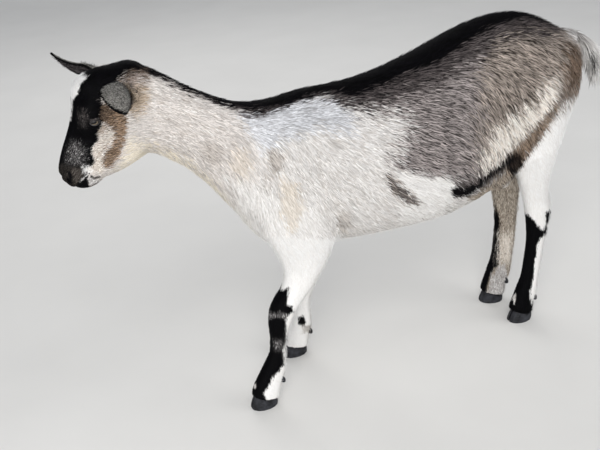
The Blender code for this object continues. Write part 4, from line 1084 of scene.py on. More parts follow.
def head_paint(own, streak, chance):
    px, py = seen(near_side(own))
    canvas = body_paint(own, streak, chance)
    canvas.fill(BEHIND_EAR, EAR_BEIGE, 10, 3, 0.9)
    canvas.fill(NAPE, CROWN_SOFT, 13, 2, 0.9, 0.95)
    canvas.fill(CHEEK_PAINT, CHEEK_CREAM, 3, 1, 0.85)
    canvas.fill(FACE_BROWN, CHEEK_CREAM, 3, 1, 0.5, 0.22)
    canvas.fill(FACE_BROWN, FACE_BAND, 3.5, 1.2)
    canvas.fill(GRIZZLE_HAIR, FACE_BAND, 3, 1, 0.6, 0.2)
    canvas.fill(BAND_DARK, BAND_SHADE, 5, 1, 0.85)
    canvas.fill(FACE_BROWN, UNDER_EYE, 3, 1, 0.6, 0.75)
    crown = depth_in(CROWN_BLACK, px, py)
    canvas.patch(BAND_DARK, np.minimum(crown + 6, px - CROWN_BEHIND), 9, 2, 0.9, 0.85)
    canvas.patch(BLACK, crown, 2.2 + 2.5 * (px > CROWN_BEHIND), 0.9)
    # painted highlight on the brow ridge
    canvas.fill(FACE_GREY_AND_HIGHLIGHT, BROW_RIDGE_HIGHLIGHT, 5, 1, 0.5, 0.7)
    canvas.fill(FACE_GREY_AND_HIGHLIGHT, BROW_CRESCENT, 1.6, 0.4, 0.6, 0.6)
    canvas.patch(GRIZZLE_HAIR, depth_in(NOSE_GRIZZLE, px, py) - 1, 6, 1.5, 0.85, 0.42)
    canvas.fill(MUZZLE_DARK, NOSE_DARK, 3.5, 1)
    canvas.fill(MUZZLE_BROWN, MUZZLE_SIDE, 3, 1, 0.9, 0.85)
    canvas.fill(BLACK, NOSE_STRIPE, 1.2, 0.4)
    canvas.fill(LIGHT_HAIR, CHIN_WHITE, 2, 0.5)
    canvas.fill(PURE_WHITE, LIP_CORNER, 3, 0.8, 0.8, 0.7)
    # painted shadow under the chin
    canvas.fill(MUZZLE_BROWN, CHIN_UNDER_SHADOW, 1.5, 0.5, 0.8)
    canvas.fill(MUZZLE_DARK, CHIN_LINE, 0.9, 0.3, 0.9)
    canvas.fill(BLACK, LIP_BLACK, 1.5, 0.4)
    canvas.fill(PURE_WHITE, LIP_EDGE, 0.9, 0.1, 0.65, 0.65)
    canvas.fill(PURE_WHITE, FOREHEAD_WHITE, 1.5, 0.5)
    canvas.fill(PURE_WHITE, PROFILE_LINE, 0.9, 0.3, 0.8, 0.8)
    # painted highlight on the upper lid
    canvas.fill(FACE_GREY_AND_HIGHLIGHT, BROW_SHINE, 1.5, 0.3, 0.6)
    places = own + np.array(SHIFT)
    for side in (-1, 1):
        canvas.lay(BLACK, 1 - smoothstep(*NOSTRIL_BLACK, nostril_shape(places, side)))
        _, across, out, reach, inside = about_eye(places, side)
        lid = (out > 0) & (reach < EYE_RADIUS * ON_LIDS)
        margin = np.where(across < 0, LID_MARGIN_BELOW, LID_MARGIN_ABOVE)
        off = smoothstep(-LID_MARGIN_SOFT, LID_MARGIN_SOFT, -inside - margin)
        canvas.lay(BLACK, (1 - off) * lid)
    canvas.lay(BLACK, 1 - smoothstep(*MOUTH_BLACK, from_mouth(places)[0]))
    return canvas


# The legs. Each is marked on both its sides as on the side that the photograph shows

FORE_LEFT_BLACK = (
    (281, 290), (289, 288), (288, 300), (286, 304), (292, 307), (294, 312), (290, 314), (286, 318),
    (286, 340), (283, 350), (284, 360), (283, 366), (278, 372), (272, 379), (268, 387), (264, 393),
    (268, 403), (268, 415), (240, 415), (244, 380), (258, 350), (262, 315), (270, 300),
)
FORE_LEFT_STREAKS = ((268, 313), (278, 312), (287, 315), (286, 319), (276, 317), (269, 319))
FORE_LEFT_GREY = ((274, 340), (283, 340), (282, 350), (275, 350))
FORE_LEFT_LINE = ((252, 377), (256, 377), (256, 388), (252, 389))
FORE_RIGHT_BLACK = ((299, 317), (303, 315), (307, 322), (304, 326), (299, 324))
FORE_RIGHT_GREY = ((303, 325), (312, 324), (312, 333), (303, 333))
HIND_LEFT_BLACK = (
    (525, 212), (530, 216), (535, 221), (540, 229), (543, 230), (546, 224), (545, 213), (552, 209),
    (549, 232), (545, 234), (540, 240), (537, 248), (535, 258), (534.5, 268), (533, 280), (530.5, 291),
    (531, 300), (535, 313), (535, 325), (500, 325), (512, 280), (516, 250), (518, 225),
)
HIND_LEFT_LINE = ((513, 291), (516, 289), (515.5, 300), (514, 304))
HIND_RIGHT_BLACK = (
    (480, 195), (494, 200), (497, 210), (499.5, 218), (499.5, 258), (498, 266), (491.5, 274),
    (488, 287), (484, 305), (465, 305), (478, 260),
)
HIND_RIGHT_WHITE = (
    (498, 266), (504, 264), (509, 280), (505, 297), (485, 297), (488.5, 288), (492, 275),
)
HIND_RIGHT_DARK = ((483, 194), (492, 197), (499, 211), (502, 228), (494, 228), (488, 210))
HIND_RIGHT_PALE = ((500, 235), (512, 233), (512, 262), (500, 264))
LEG_PAINT = {
    "foreleg_left": (
        (BLACK, FORE_LEFT_BLACK, 1.5, 1), (GRIZZLE_HAIR, FORE_LEFT_STREAKS, 2, 1, 0.9, 0.6),
        (GRIZZLE_HAIR, FORE_LEFT_GREY, 4, 1, 0.9, 0.45), (WHITE, FORE_LEFT_LINE, 0.8, 0.5),
    ),
    "foreleg_right": (
        (BLACK, FORE_RIGHT_BLACK, 1.2, 1), (GREY_SPOT, FORE_RIGHT_GREY, 2, 1, 0.9, 0.7),
    ),
    "hindleg_left": (
        (BLACK, HIND_LEFT_BLACK, 1.2, 1), (WHITE, HIND_LEFT_LINE, 0.8, 0.5),
    ),
    "hindleg_right": (
        (BROWN_STREAK, HIND_RIGHT_DARK, 4, 2, 0.9, 0.6), (BLACK, HIND_RIGHT_BLACK, 1.5, 1),
        (THIGH_CREAM, HIND_RIGHT_PALE, 7, 3, 0.8, 0.85),
        (LIGHT_HAIR, HIND_RIGHT_WHITE, 2.5, 1.5),
    ),
}
INNER_SIDE = {                   # how far off a hind leg's middle its inner colour starts
    "hindleg_left": 0.010, "hindleg_right": -0.010,
}
INNER_SOFT = 0.008
LEG_PAINT_TOP = {                # heights between which the body's colours give way
    "foreleg_left": (0.52, 0.42), "foreleg_right": (0.52, 0.42),
    "hindleg_left": (0.46, 0.40), "hindleg_right": (0.62, 0.50),
}


LEG_LEVELS = 16                  # heights at which a leg's middle is looked up,
LEG_ENDS = (0.01, 0.02)          # from this far above its lower end to this far below its top,
LEG_SLICE = 0.03                 # each from the points within this height


def leg_axis(name):
    """Middle of a leg's solid at rising heights, in the goat's own axes."""
    points = points_of(NODES[name].data) - np.array(SHIFT)
    low, high = points[:, 2].min() + LEG_ENDS[0], points[:, 2].max() - LEG_ENDS[1]
    heights = np.linspace(low, high, LEG_LEVELS)
    middles = []
    for height in heights:
        near = points[np.abs(points[:, 2] - height) < LEG_SLICE]
        middles.append((near.min(0) + near.max(0))[:2] / 2)
    return heights, np.array(middles)


def leg_paint(name, own, streak, chance):
    heights, middles = leg_axis(name)
    middle = np.interp(own[:, 2], heights, middles[:, 1])
    folded = own * 1.0
    folded[:, 1] = middle - np.abs(own[:, 1] - middle)
    canvas = Canvas(len(own), PURE_WHITE, streak, chance, seen(folded))
    if name in INNER_SIDE:
        inward = (own[:, 1] - middle) * (1 if name.endswith("left") else -1)
        canvas.patch(MEDIAL, inward - INNER_SIDE[name], INNER_SOFT, 0.003)
    for paint, outline, *edge in LEG_PAINT[name]:
        canvas.fill(paint, outline, *edge)
    high, low = LEG_PAINT_TOP[name]
    canvas.blend(body_paint(own, streak, chance), smoothstep(low, high, own[:, 2]))
    return canvas


# Dark patches on the tail; the second, between the tail and the thigh, is dark hair and painted shadow
TAIL_DARK_AND_SHADOW = (
    ((588, 47), (592, 49), (595, 60), (592, 63), (589, 56)),
    ((582, 73), (588, 68), (593, 74), (594, 92), (583, 90)),
)
TAIL_WHITE = (36, 62)            # rows between which the tail's light streaks set in


def tail_paint(own, streak):
    px, py = seen(near_side(own))
    canvas = Canvas(len(own), LIGHT_HAIR, streak, None, (px, py))
    canvas.lay(PURE_WHITE, smoothstep(-0.2, 0.5, streak) * smoothstep(*TAIL_WHITE, py))
    # black hair, and painted shadow between the tail and the thigh
    for outline in TAIL_DARK_AND_SHADOW:
        canvas.fill(BLACK, outline, 2, 2)
    return canvas


EAR_TAN = 0.14                   # share of an ear's length at its base that is brownish
EAR_RIM_BLACK = 0.80             # share of its half width where its black rim starts: black hair, broadened by painted shade under the lower rim
EAR_RIM_GAIN = (0.7, 0.4)        # beyond this share of its length the rim widens by this
EAR_FAR_RIM = 0.10               # how much narrower the rim on the other side is
EAR_TIP_BLACK = 0.93             # share of its length where its black tip starts


def ear_paint(side, chart, streak, chance):
    """Grey outside with a black rim, dark and bare inside."""
    u, v, inside = chart.T
    canvas = Canvas(len(chart), EAR_GREY, streak, chance)
    canvas.patch(BEHIND_EAR, EAR_TAN - u, EAR_TAN, 0.05, 0.9)
    canvas.patch(EAR_INSIDE, inside - 0.5, 0.1)
    start, gain = EAR_RIM_GAIN
    rim = np.maximum(side * v, np.abs(v) - EAR_FAR_RIM) + gain * np.maximum(0, u - start)
    # black rim: black hair, and painted shade under the lower rim
    canvas.patch(BLACK, rim - EAR_RIM_BLACK, 0.07, 0.03)
    canvas.patch(BLACK, u - EAR_TIP_BLACK, 0.05, 0.02)
    return canvas


def painted(owner_name, places, streak, chart, chance=None):
    own = places - np.array(SHIFT)
    if owner_name in EARS:
        return ear_paint(-1 if owner_name == "ear_left" else 1, chart, streak, chance)
    if owner_name in LEG_PAINT:
        return leg_paint(owner_name, own, streak, chance)
    if owner_name == "head":
        return head_paint(own, streak, chance)
    if owner_name == "tail":
        return tail_paint(own, streak)
    return body_paint(own, streak, chance)


# Tufts

TUFT_FACES = np.array([
    (0, 2, 1), (0, 3, 2), (0, 1, 3),
    (1, 2, 4), (2, 3, 4), (3, 1, 4),
])
TUFT_UNWRAPPED = np.array([(0.5, 0), (0, 0.4), (0.5, 0.5), (1, 0.4), (0.5, 1)])
UNWRAP_PATCH = 0.003             # size of a tuft's patch on the map for baking
UNWRAP_MARGIN = 0.02
PAINTED_AT = 0.5                 # share of its length where a tuft's place is looked up
ROOT_DEPTH = 0.0008              # a tuft starts this far under the skin
WIDEST = 0.40                    # share of its length where a tuft is widest
ROUNDNESS = 0.35                 # how far the light sees a tuft's sides turn off the skin
SWAY_MIDDLE, SWAY_TIP = 0.10, 0.4    # shares of its sway at the ring and at the tip
RISE_MIDDLE = 0.55               # share of its rise at the ring
TUFT_THICKNESS = 0.7             # of half its width


def tuft_points(skin, place, normal, way, length, width, lift, sway):
    """Five points of each tuft: its root, a ring where it is widest, and its tip."""
    across = np.cross(normal, way)
    rise = np.sin(np.radians(lift)) * length
    ring = place + (way * WIDEST + across * sway[:, None] * SWAY_MIDDLE) * length[:, None]
    end = place + (way + across * sway[:, None] * SWAY_TIP) * length[:, None]
    middle, middle_normal = skin.laid(ring)
    tip, tip_normal = skin.laid(end)
    middle = middle + middle_normal * (rise * RISE_MIDDLE)[:, None]
    half = (width / 2)[:, None]
    points = np.empty((len(place), 5, 3))
    points[:, 0] = place - normal * ROOT_DEPTH
    points[:, 1] = middle + across * half
    points[:, 2] = middle + middle_normal * half * TUFT_THICKNESS
    points[:, 3] = middle - across * half
    points[:, 4] = tip + tip_normal * rise[:, None]
    soft = np.repeat(normal[:, None, :], 5, axis=1)
    soft[:, 1] += across * ROUNDNESS
    soft[:, 3] -= across * ROUNDNESS
    return points, unit(soft)


def coloured(mesh, colours):
    """Colours of a mesh's points, for its material."""
    values = np.ones((len(mesh.vertices), 4), np.float32)
    values[:, :3] = colours.reshape(-1, 3)
    layer = mesh.color_attributes.new("Coat", "FLOAT_COLOR", "POINT")
    layer.data.foreach_set("color", values.ravel())


def joined(name, points, faces, normals, colours, unwrapped, corners):
    """One mesh of many tufts of the same make, with their colours and the map for baking."""
    count, size = points.shape[:2]
    triangles = (np.arange(count)[:, None, None] * size + faces[None]).reshape(-1, 3)
    mesh = mesh_from(name, points.reshape(-1, 3), triangles)
    if normals is not None:
        mesh.normals_split_custom_set_from_vertices(normals.reshape(-1, 3).astype(np.float32))
    coloured(mesh, colours)
    flat = unwrapped[:, None, :] + (corners - 0.5)[None] * UNWRAP_PATCH
    uv = mesh.uv_layers.new(name="OFBake")
    uv.data.foreach_set("uv", flat.reshape(-1, 2)[triangles.ravel()].astype(np.float32).ravel())
    return new_object(name, mesh)


def unwrap(places, low, high, axis):
    """Round an axis and along it, as shares of 0 to 1: the skin unrolled."""
    middle = (low + high) / 2
    along = (places[:, axis] - low[axis]) / (high[axis] - low[axis])
    first, second = (i for i in range(3) if i != axis)
    turn = np.arctan2(places[:, second] - middle[second], places[:, first] - middle[first])
    share = np.stack([along, turn / (2 * np.pi) + 0.5], 1)
    return UNWRAP_MARGIN + (1 - 2 * UNWRAP_MARGIN) * share


# Streaks: long lines of one shade along the lie of the hair

STREAK_KINDS = (                 # nodes, number of lines, length of a step, and steps
    (("head",), 5200, 0.0024, 3),
    (
        ("torso", "neck", "tail", "foreleg_left", "foreleg_right", "hindleg_left", "hindleg_right"),
        16000, 0.006, 4,
    ),
    (EARS, 700, 0.003, 3),
)
STREAK_SPREAD, STREAK_LIMIT = 0.55, 1.4
STREAK_SEED = 11


class Streaks:
    """Lines run along the coat from scattered starts, each with its own shade."""

    def __init__(self, skin, draws):
        self.places, self.shades = [], []
        for names, count, reach, steps in STREAK_KINDS:
            picked = np.isin(skin.owner, [FLESH.index(name) for name in names])
            count = count
            places, normals, _ = skin.sown(np.nonzero(picked)[0], count, draws)
            shade = draws.normal(0, STREAK_SPREAD, count)
            shade = np.clip(shade, -STREAK_LIMIT, STREAK_LIMIT)
            for _ in range(steps + 1):
                self.places.append(places)
                self.shades.append(shade)
                way, length, _ = lie_of(places, normals)
                step = np.minimum(reach, length)
                places, normals = skin.laid(places + way * step[:, None])
        self.places = np.concatenate(self.places)
        self.shades = np.concatenate(self.shades)
        self.tree = KDTree(len(self.places))
        for index, place in enumerate(self.places.tolist()):
            self.tree.insert(place, index)
        self.tree.balance()

    def at(self, places):
        found = [self.tree.find(place)[1] for place in places.tolist()]
        return self.shades[np.array(found)]


# Coat pieces: name, the node whose flesh they grow on, number of tufts and their width

COAT_PIECES = (
    ("coat_torso_left_front", "torso", 23500, 0.0021),
    ("coat_torso_left_back", "torso", 23500, 0.0021),
    ("coat_torso_right_front", "torso", 23500, 0.0021),
    ("coat_torso_right_back", "torso", 23500, 0.0021),
    ("coat_neck_left", "neck", 15500, 0.0019),
    ("coat_neck_right", "neck", 15500, 0.0019),
    ("coat_head_left", "head", 22000, 0.0014),
    ("coat_head_right", "head", 22000, 0.0014),
    ("coat_foreleg_left", "foreleg_left", 11500, 0.0014),
    ("coat_foreleg_right", "foreleg_right", 11500, 0.0014),
    ("coat_hindleg_left", "hindleg_left", 15500, 0.0015),
    ("coat_hindleg_right", "hindleg_right", 15500, 0.0015),
    ("coat_ear_left", "ear_left", 6500, 0.0013),
    ("coat_ear_right", "ear_right", 6500, 0.0013),
)
GUARD_SHARE = 0.42               # of the tufts are longer, finer and lighter ones on top
COAT_SEED = 100                  # of the first piece, and one more for each next one
TURN_SPREAD = 0.13               # how far tufts turn off the lie of the hair
SWAY_SPREAD = 0.22
LENGTH_RANGE, LIFT_RANGE, WIDTH_RANGE = (0.7, 1.15), (0.6, 1.3), (0.75, 1.25)
GUARD_LENGTH, UNDER_LENGTH = 1.1, 0.9          # shares of length, lift and width that
GUARD_LIFT, UNDER_LIFT = 1.25, 0.6             # tufts on top and those under them have
GUARD_WIDTH, UNDER_WIDTH = 0.8, 1.1
GUARD_TIP, UNDER_TIP = (0.75, 1.1), (0.0, 0.45)     # how far their tips take the tip's colour
GUARD_MIDDLE, UNDER_MIDDLE = 0.75, 0.5         # and their middles, as a share of that
SHADE_NOISE = 0.8                # spread of the shade from tuft to tuft
SHADE_LIMITS = (-2, 1.8)
DARKEST, LIGHTEST = 0.001, 0.93
BARE_MOUTH = 0.0010              # hair stays this far off the mouth and the lids' edges
LID_HAIR = 0.35                  # share of its length that hair has at the lids' edges
LID_HAIR_REACH = 0.012           # metres over which it grows to its full length
TORSO_MIDDLE = 0.04              # x that parts its front pieces from its back ones
UNWRAP_AXIS = {"torso": 0, "neck": 0, "head": 2}


def faces_of_piece(skin, name, node):
    own = skin.middle - np.array(SHIFT)
    picked = skin.owner == FLESH.index(node)
    if node in ("torso", "neck", "head"):
        picked &= own[:, 1] <= 0 if "_left" in name else own[:, 1] > 0
    if name.endswith("front"):
        picked &= own[:, 0] <= TORSO_MIDDLE
    if name.endswith("back"):
        picked &= own[:, 0] > TORSO_MIDDLE
    return np.nonzero(picked)[0]


def haired(places):
    """Where the head bears hair: not in the eyes' openings, the nostrils or the mouth."""
    bare = from_mouth(places)[0] < BARE_MOUTH
    for side in (-1, 1):
        _, _, out, reach, inside = about_eye(places, side)
        bare |= (inside > -BARE_MOUTH) & (out > 0) & (reach < EYE_RADIUS * OVER_BALL)
        bare |= nostril_shape(places, side) < 1.0
    return ~bare


def near_lids(places):
    """Share of its length that hair has, which is short on the lids."""
    share = np.ones(len(places))
    for side in (-1, 1):
        _, _, out, reach, inside = about_eye(places, side)
        lid = (out > 0) & (reach < EYE_RADIUS * ON_LIDS)
        grown = LID_HAIR + (1 - LID_HAIR) * smoothstep(0, LID_HAIR_REACH, -inside)
        share = np.where(lid, np.minimum(share, grown), share)
    return share


def coat_piece(skin, streaks, name, node, count, width, seed):
    draws = np.random.default_rng(seed)
    faces = faces_of_piece(skin, name, node)
    place, normal, chart = skin.sown(faces, count, draws)
    if node == "head":
        clear = haired(place)
        place, normal, chart = place[clear], normal[clear], chart[clear]
    count = len(place)
    guard = draws.random(count) < GUARD_SHARE
    if node in EARS:
        way, length, lift = ear_lie(node, normal, chart)
    else:
        way, length, lift = lie_of(place, normal)
    across = np.cross(normal, way)
    way = unit(way + across * draws.normal(0, TURN_SPREAD, count)[:, None])
    length = length * draws.uniform(*LENGTH_RANGE, count) * np.where(guard, GUARD_LENGTH, UNDER_LENGTH)
    if node == "head":
        length = length * near_lids(place)
    lift = lift * draws.uniform(*LIFT_RANGE, count) * np.where(guard, GUARD_LIFT, UNDER_LIFT)
    sway = draws.normal(0, SWAY_SPREAD, count)
    widths = width * draws.uniform(*WIDTH_RANGE, count) * np.where(guard, GUARD_WIDTH, UNDER_WIDTH)
    streak = streaks.at(place)
    chance = draws.uniform(*CHANCE_RANGE, count)
    shown = place + way * (length * PAINTED_AT)[:, None]
    canvas = painted(node, shown, streak, chart, chance)
    points, normals = tuft_points(skin, place, normal, way, length, widths, lift, sway)
    vary = canvas.vary * np.clip(SHADE_NOISE * draws.normal(0, 1, count) + streak, *SHADE_LIMITS)
    shade = np.exp(vary)[:, None]
    top, under = draws.uniform(*GUARD_TIP, count), draws.uniform(*UNDER_TIP, count)
    tip = canvas.root + (canvas.tip - canvas.root) * np.where(guard, top, under)[:, None]
    middle = canvas.root + (tip - canvas.root) * np.where(guard, GUARD_MIDDLE, UNDER_MIDDLE)[:, None]
    colours = np.stack([canvas.root, middle, middle, middle, tip], 1) * shade[:, None]
    colours = np.clip(colours, DARKEST, LIGHTEST)
    axis = UNWRAP_AXIS.get(node, 2)
    flat = unwrap(place, skin.middle[faces].min(0), skin.middle[faces].max(0), axis)
    return joined(name, points, TUFT_FACES, normals, colours, flat, TUFT_UNWRAPPED)


# The tail's locks

TAIL_LOCKS = 2600
TAIL_LOCK_RINGS = 5
TAIL_SEED = 31
LOCK_WAY = np.array((0.9, 0, -0.35))       # the way that locks leave the tail's root
LOCK_WAY_GAIN = np.array((-0.55, 0, -0.6))     # and what its tip adds to that
LOCK_SPREAD, LOCK_SPREAD_LOSS = 0.30, 0.05     # how far they stand off the core
LOCK_LENGTH, LOCK_LENGTH_GAIN = 0.026, 0.046
LOCK_GROWTH = (0.05, 0.5)        # shares of the tail between which they grow longer
LOCK_LENGTH_RANGE = (0.7, 1.1)
LOCK_WIDTHS = (0.0016, 0.0030)
LOCK_DROOP = (0.10, 0.32)        # how far they turn down at each ring
LOCK_BEND = 0.07                 # and to any side
LOCK_TAPER = 0.8
LOCK_STREAK_SPREAD, LOCK_SHADE_SPREAD = 0.6, 0.1
LOCK_LIGHTEST = 0.95
DOWN = np.array((0, 0, -1.0))


def lock_faces(rings):
    """Triangles of a lock: rings of three points from its root and a tip."""
    faces = [(0, 2, 1)]
    for ring in range(rings - 1):
        for corner in range(3):
            a, b = ring * 3 + corner, ring * 3 + (corner + 1) % 3
            faces += [(a, b, b + 3), (a, b + 3, a + 3)]
    last = rings * 3
    faces += [(last - 3 + corner, last - 3 + (corner + 1) % 3, last) for corner in range(3)]
    return np.array(faces)


def tail_piece(skin):
    """Long locks that leave the tail's core backwards and outwards and hang down."""
    draws = np.random.default_rng(TAIL_SEED)
    faces = np.nonzero(skin.owner == FLESH.index("tail"))[0]
    root, normal, _ = skin.sown(faces, TAIL_LOCKS, draws)
    own = root - np.array(SHIFT)
    core = np.array(TAIL_CORE)
    share = np.clip((own[:, 0] - core[0, 0]) / (core[-1, 0] - core[0, 0]), 0, 1)
    heading = LOCK_WAY + LOCK_WAY_GAIN * share[:, None]
    heading = unit(heading + normal * (LOCK_SPREAD - LOCK_SPREAD_LOSS * share)[:, None])
    length = LOCK_LENGTH + LOCK_LENGTH_GAIN * smoothstep(*LOCK_GROWTH, share)
    length = length * draws.uniform(*LOCK_LENGTH_RANGE, len(root))
    width = draws.uniform(*LOCK_WIDTHS, len(root))
    droop = draws.uniform(*LOCK_DROOP, len(root))
    bend = draws.normal(0, LOCK_BEND, (len(root), 3))
    point = root - normal * ROOT_DEPTH
    rings = np.empty((len(root), TAIL_LOCK_RINGS * 3 + 1, 3))
    for ring in range(TAIL_LOCK_RINGS):
        part = ring / TAIL_LOCK_RINGS
        across = unit(np.cross(heading, -DOWN) + 1e-6)
        face = np.cross(across, heading)
        half = (width / 2 * (1 - part ** 2 * LOCK_TAPER))[:, None]
        rings[:, ring * 3] = point + across * half
        rings[:, ring * 3 + 1] = point + face * half * TUFT_THICKNESS
        rings[:, ring * 3 + 2] = point - across * half
        point = point + heading * (length / TAIL_LOCK_RINGS)[:, None]
        heading = unit(heading + bend + DOWN * droop[:, None])
    rings[:, -1] = point
    faces = lock_faces(TAIL_LOCK_RINGS)
    size = rings.shape[1]
    streak = draws.normal(0, LOCK_STREAK_SPREAD, len(root))
    canvas = tail_paint(rings[:, size // 2] - np.array(SHIFT), streak)
    shade = (1 + draws.normal(0, LOCK_SHADE_SPREAD, len(root)))[:, None]
    part = np.minimum(1, np.arange(size) / (size - 4))[None, :, None]
    colours = (canvas.root[:, None] + (canvas.tip - canvas.root)[:, None] * part) * shade[:, None]
    colours = np.clip(colours, DARKEST, LOCK_LIGHTEST)
    flat = unwrap(root, root.min(0), root.max(0), 0)
    corners = np.stack([(np.arange(size) % 3) / 2, np.arange(size) / size], 1)
    return joined("coat_tail", rings, faces, None, colours, flat, corners)


# Materials

class Look:
    """A material in the making: its shader, its nodes and a place on the surface."""

    def __init__(self, name):
        self.material = bpy.data.materials.new(name)
        self.material.use_nodes = True
        self.tree = self.material.node_tree
        self.place = self.node("TexCoord", {}).outputs["Object"]

    def plug(self, node, sockets):
        """Sockets set to values, or linked to the outputs of other nodes."""
        for name, value in sockets.items():
            if isinstance(value, bpy.types.NodeSocket):
                self.tree.links.new(value, node.inputs[name])
            else:
                node.inputs[name].default_value = value

    def node(self, kind, sockets, **settings):
        made = self.tree.nodes.new("ShaderNode" + kind)
        for name, value in settings.items():
            setattr(made, name, value)
        self.plug(made, sockets)
        return made

    def shader(self, sockets):
        self.plug(self.tree.nodes["Principled BSDF"], sockets)

    def noise(self, scale, detail):
        sockets = {"Scale": scale, "Detail": detail, "Roughness": 0.5, "Vector": self.place}
        return self.node("TexNoise", sockets).outputs["Fac"]

    def ramp(self, value, low, high):
        sockets = {"To Min": low, "To Max": high, "Value": value}
        return self.node("MapRange", sockets).outputs["Result"]

    def scaled(self, colour, factor):
        sockets = {"Vector": colour, "Scale": factor}
        return self.node("VectorMath", sockets, operation="SCALE").outputs["Vector"]

    def relief(self, height, strength, distance):
        sockets = {"Strength": strength, "Distance": distance, "Height": height}
        return self.node("Bump", sockets).outputs["Normal"]

    def blended(self, value, *stops):
        """Colours of 0 to 255 that follow a value through some stops."""
        made = self.node("ValToRGB", {"Fac": value})
        ends = made.color_ramp.elements
        for index, (position, colour) in enumerate(stops):
            stop = ends[index] if index < 2 else ends.new(position)
            stop.position = position
            stop.color = (*linear(colour), 1)
        return made.outputs["Color"]

    def sum_of(self, operation, first, second=0):
        """A sum of two numbers, each a value or an output."""
        made = self.node("Math", {}, operation=operation)
        self.plug(made, {0: first, 1: second})
        return made.outputs["Value"]


def coat_material(name, relief):
    """Colours from the tufts themselves, with a finer change of shade and a soft gloss."""
    look = Look(name)
    own = look.node("Attribute", {}, attribute_name="Coat").outputs["Color"]
    fine = look.noise(900, 2)
    look.shader({
        "Base Color": look.scaled(own, look.ramp(fine, 0.72, 1.28)),
        "Roughness": look.ramp(look.noise(140, 2), 0.50, 0.74),
        "Specular IOR Level": 0.05,
    })
    if relief:
        look.shader({"Normal": look.relief(fine, 0.6, relief)})
    return look.material


def wet_material():
    """The lids' dark, bare, moist edge."""
    look = Look("lid edge")
    colour = look.blended(look.noise(600, 3), (0, (12, 9, 9)), (1, (36, 28, 27)))
    look.shader({"Base Color": colour, "Roughness": 0.3})
    return look.material


def horn_material():
    """Dull dark horn with blotches and growth rings across it."""
    look = Look("horn")
    sockets = {
        "Scale": 42, "Distortion": 1.6, "Detail": 2, "Detail Scale": 1.2, "Vector": look.place,
    }
    rings = look.node("TexWave", sockets, wave_type="BANDS", bands_direction="Z")
    blotch = look.noise(60, 4)
    look.shader({
        "Base Color": look.blended(blotch, (0.30, (11, 11, 14)), (0.75, (56, 57, 62))),
        "Roughness": look.ramp(blotch, 0.45, 0.8),
        "Specular IOR Level": 0.25,
        "Normal": look.relief(rings.outputs["Fac"], 0.5, 0.0008),
    })
    return look.material


def stage_material():
    """Plain light grey."""
    look = Look("stage")
    colour = look.blended(look.noise(3, 3), (0, (212, 210, 206)), (1, (222, 220, 216)))
    look.shader({"Base Color": colour, "Roughness": 0.85})
    return look.material


# Eyes

def lid_margin(name, side, look):
    """The dark wet edge of both lids, a thin ring round the opening."""
    along, up, outward = eye_axes(side)
    centre = eye_centre(side) + SHIFT
    count, sides, thick = LID_RING_STEPS, LID_RING_SIDES, LID_RING_THICKNESS
    rings = []
    for step in range(count):
        angle = 2 * math.pi * step / count
        x = OPENING_HALF_LENGTH * math.cos(angle)
        above, below = lid_edges(np.array(x))
        y = float(above) if math.sin(angle) >= 0 else -float(below)
        x += OPENING_BACK
        flat = math.sqrt(max(EYE_RADIUS ** 2 - x * x - y * y, 0))
        way = (along * x + up * y + outward * flat).normalized()
        rings.append((way * (EYE_RADIUS + LID_RING_OUT), way))
    points, faces = [], []
    for step in range(count):
        place, way = rings[step]
        ahead = (rings[(step + 1) % count][0] - rings[step - 1][0]).normalized()
        beside = ahead.cross(way).normalized()
        for turn in range(sides):
            angle = 2 * math.pi * turn / sides
            offset = beside * math.cos(angle) + way * math.sin(angle)
            points.append(centre + place + offset * thick)
    for step in range(count):
        for turn in range(sides):
            a = step * sides + turn
            b = step * sides + (turn + 1) % sides
            c = (step + 1) % count * sides + (turn + 1) % sides
            d = (step + 1) % count * sides + turn
            faces += [(a, b, c), (a, c, d)]
    mesh = mesh_from(name, np.array([tuple(point) for point in points]), np.array(faces))
    mesh.materials.append(look)
    return new_object(name, mesh)


def eye_material():
    """Amber iris with a level slit for a pupil, dark at its edge and round it."""
    look = Look("eye")
    split = look.node("SeparateXYZ", {"Vector": look.place})
    x, y = split.outputs["X"], split.outputs["Y"]

    def rounded(value, half):
        share = look.sum_of("ABSOLUTE", look.sum_of("DIVIDE", value, half))
        return look.sum_of("POWER", share, PUPIL_SQUARENESS)

    slit = look.sum_of("ADD", rounded(x, PUPIL_HALF_LENGTH), rounded(y, PUPIL_HALF_HEIGHT))
    outside = look.sum_of("GREATER_THAN", slit, 1.0)
    flat = look.node("CombineXYZ", {"X": x, "Y": y}).outputs["Vector"]
    length = look.node("VectorMath", {"Vector": flat}, operation="LENGTH").outputs["Value"]
    rings = look.blended(
        look.sum_of("DIVIDE", length, IRIS_REACH),
        (0.30, (90, 80, 66)), (0.76, (18, 13, 10)), (0.58, (108, 97, 80)),
    )
    iris = look.scaled(rings, look.ramp(look.noise(700, 3), 0.6, 1.4))
    sockets = {"Factor": outside, "A": PUPIL_COLOUR, "B": iris}
    pupil = look.node("Mix", sockets, data_type="RGBA")
    look.shader({
        "Base Color": pupil.outputs["Result"],
        "Roughness": 0.06,
        "Specular IOR Level": 0.16,
        "Coat Weight": 0.05,
        "Coat Roughness": 0.03,
    })
    return look.material


def eye_piece(name, side, look):
    """An eyeball with the bulge of its cornea."""
    bm = bmesh.new()
    bmesh.ops.create_uvsphere(bm, u_segments=EYE_TURNS, v_segments=EYE_RINGS, radius=EYE_RADIUS)
    for vert in bm.verts:
        reach = vert.co.xy.length
        if vert.co.z > 0 and reach < CORNEA_RADIUS:
            vert.co.z += CORNEA_BULGE * (1 - (reach / CORNEA_RADIUS) ** 2)
    mesh = mesh_of(bm, name)
    mesh.shade_smooth()
    mesh.materials.append(look)
    obj = new_object(name, mesh)
    along, _, outward = eye_axes(side)
    axes = Matrix((along, outward.cross(along), outward)).transposed().to_4x4()
    obj.matrix_world = Matrix.Translation(eye_centre(side) + SHIFT) @ axes
    return obj


# Stage, light and camera

FLOOR_HALF_WIDTH = 6.0


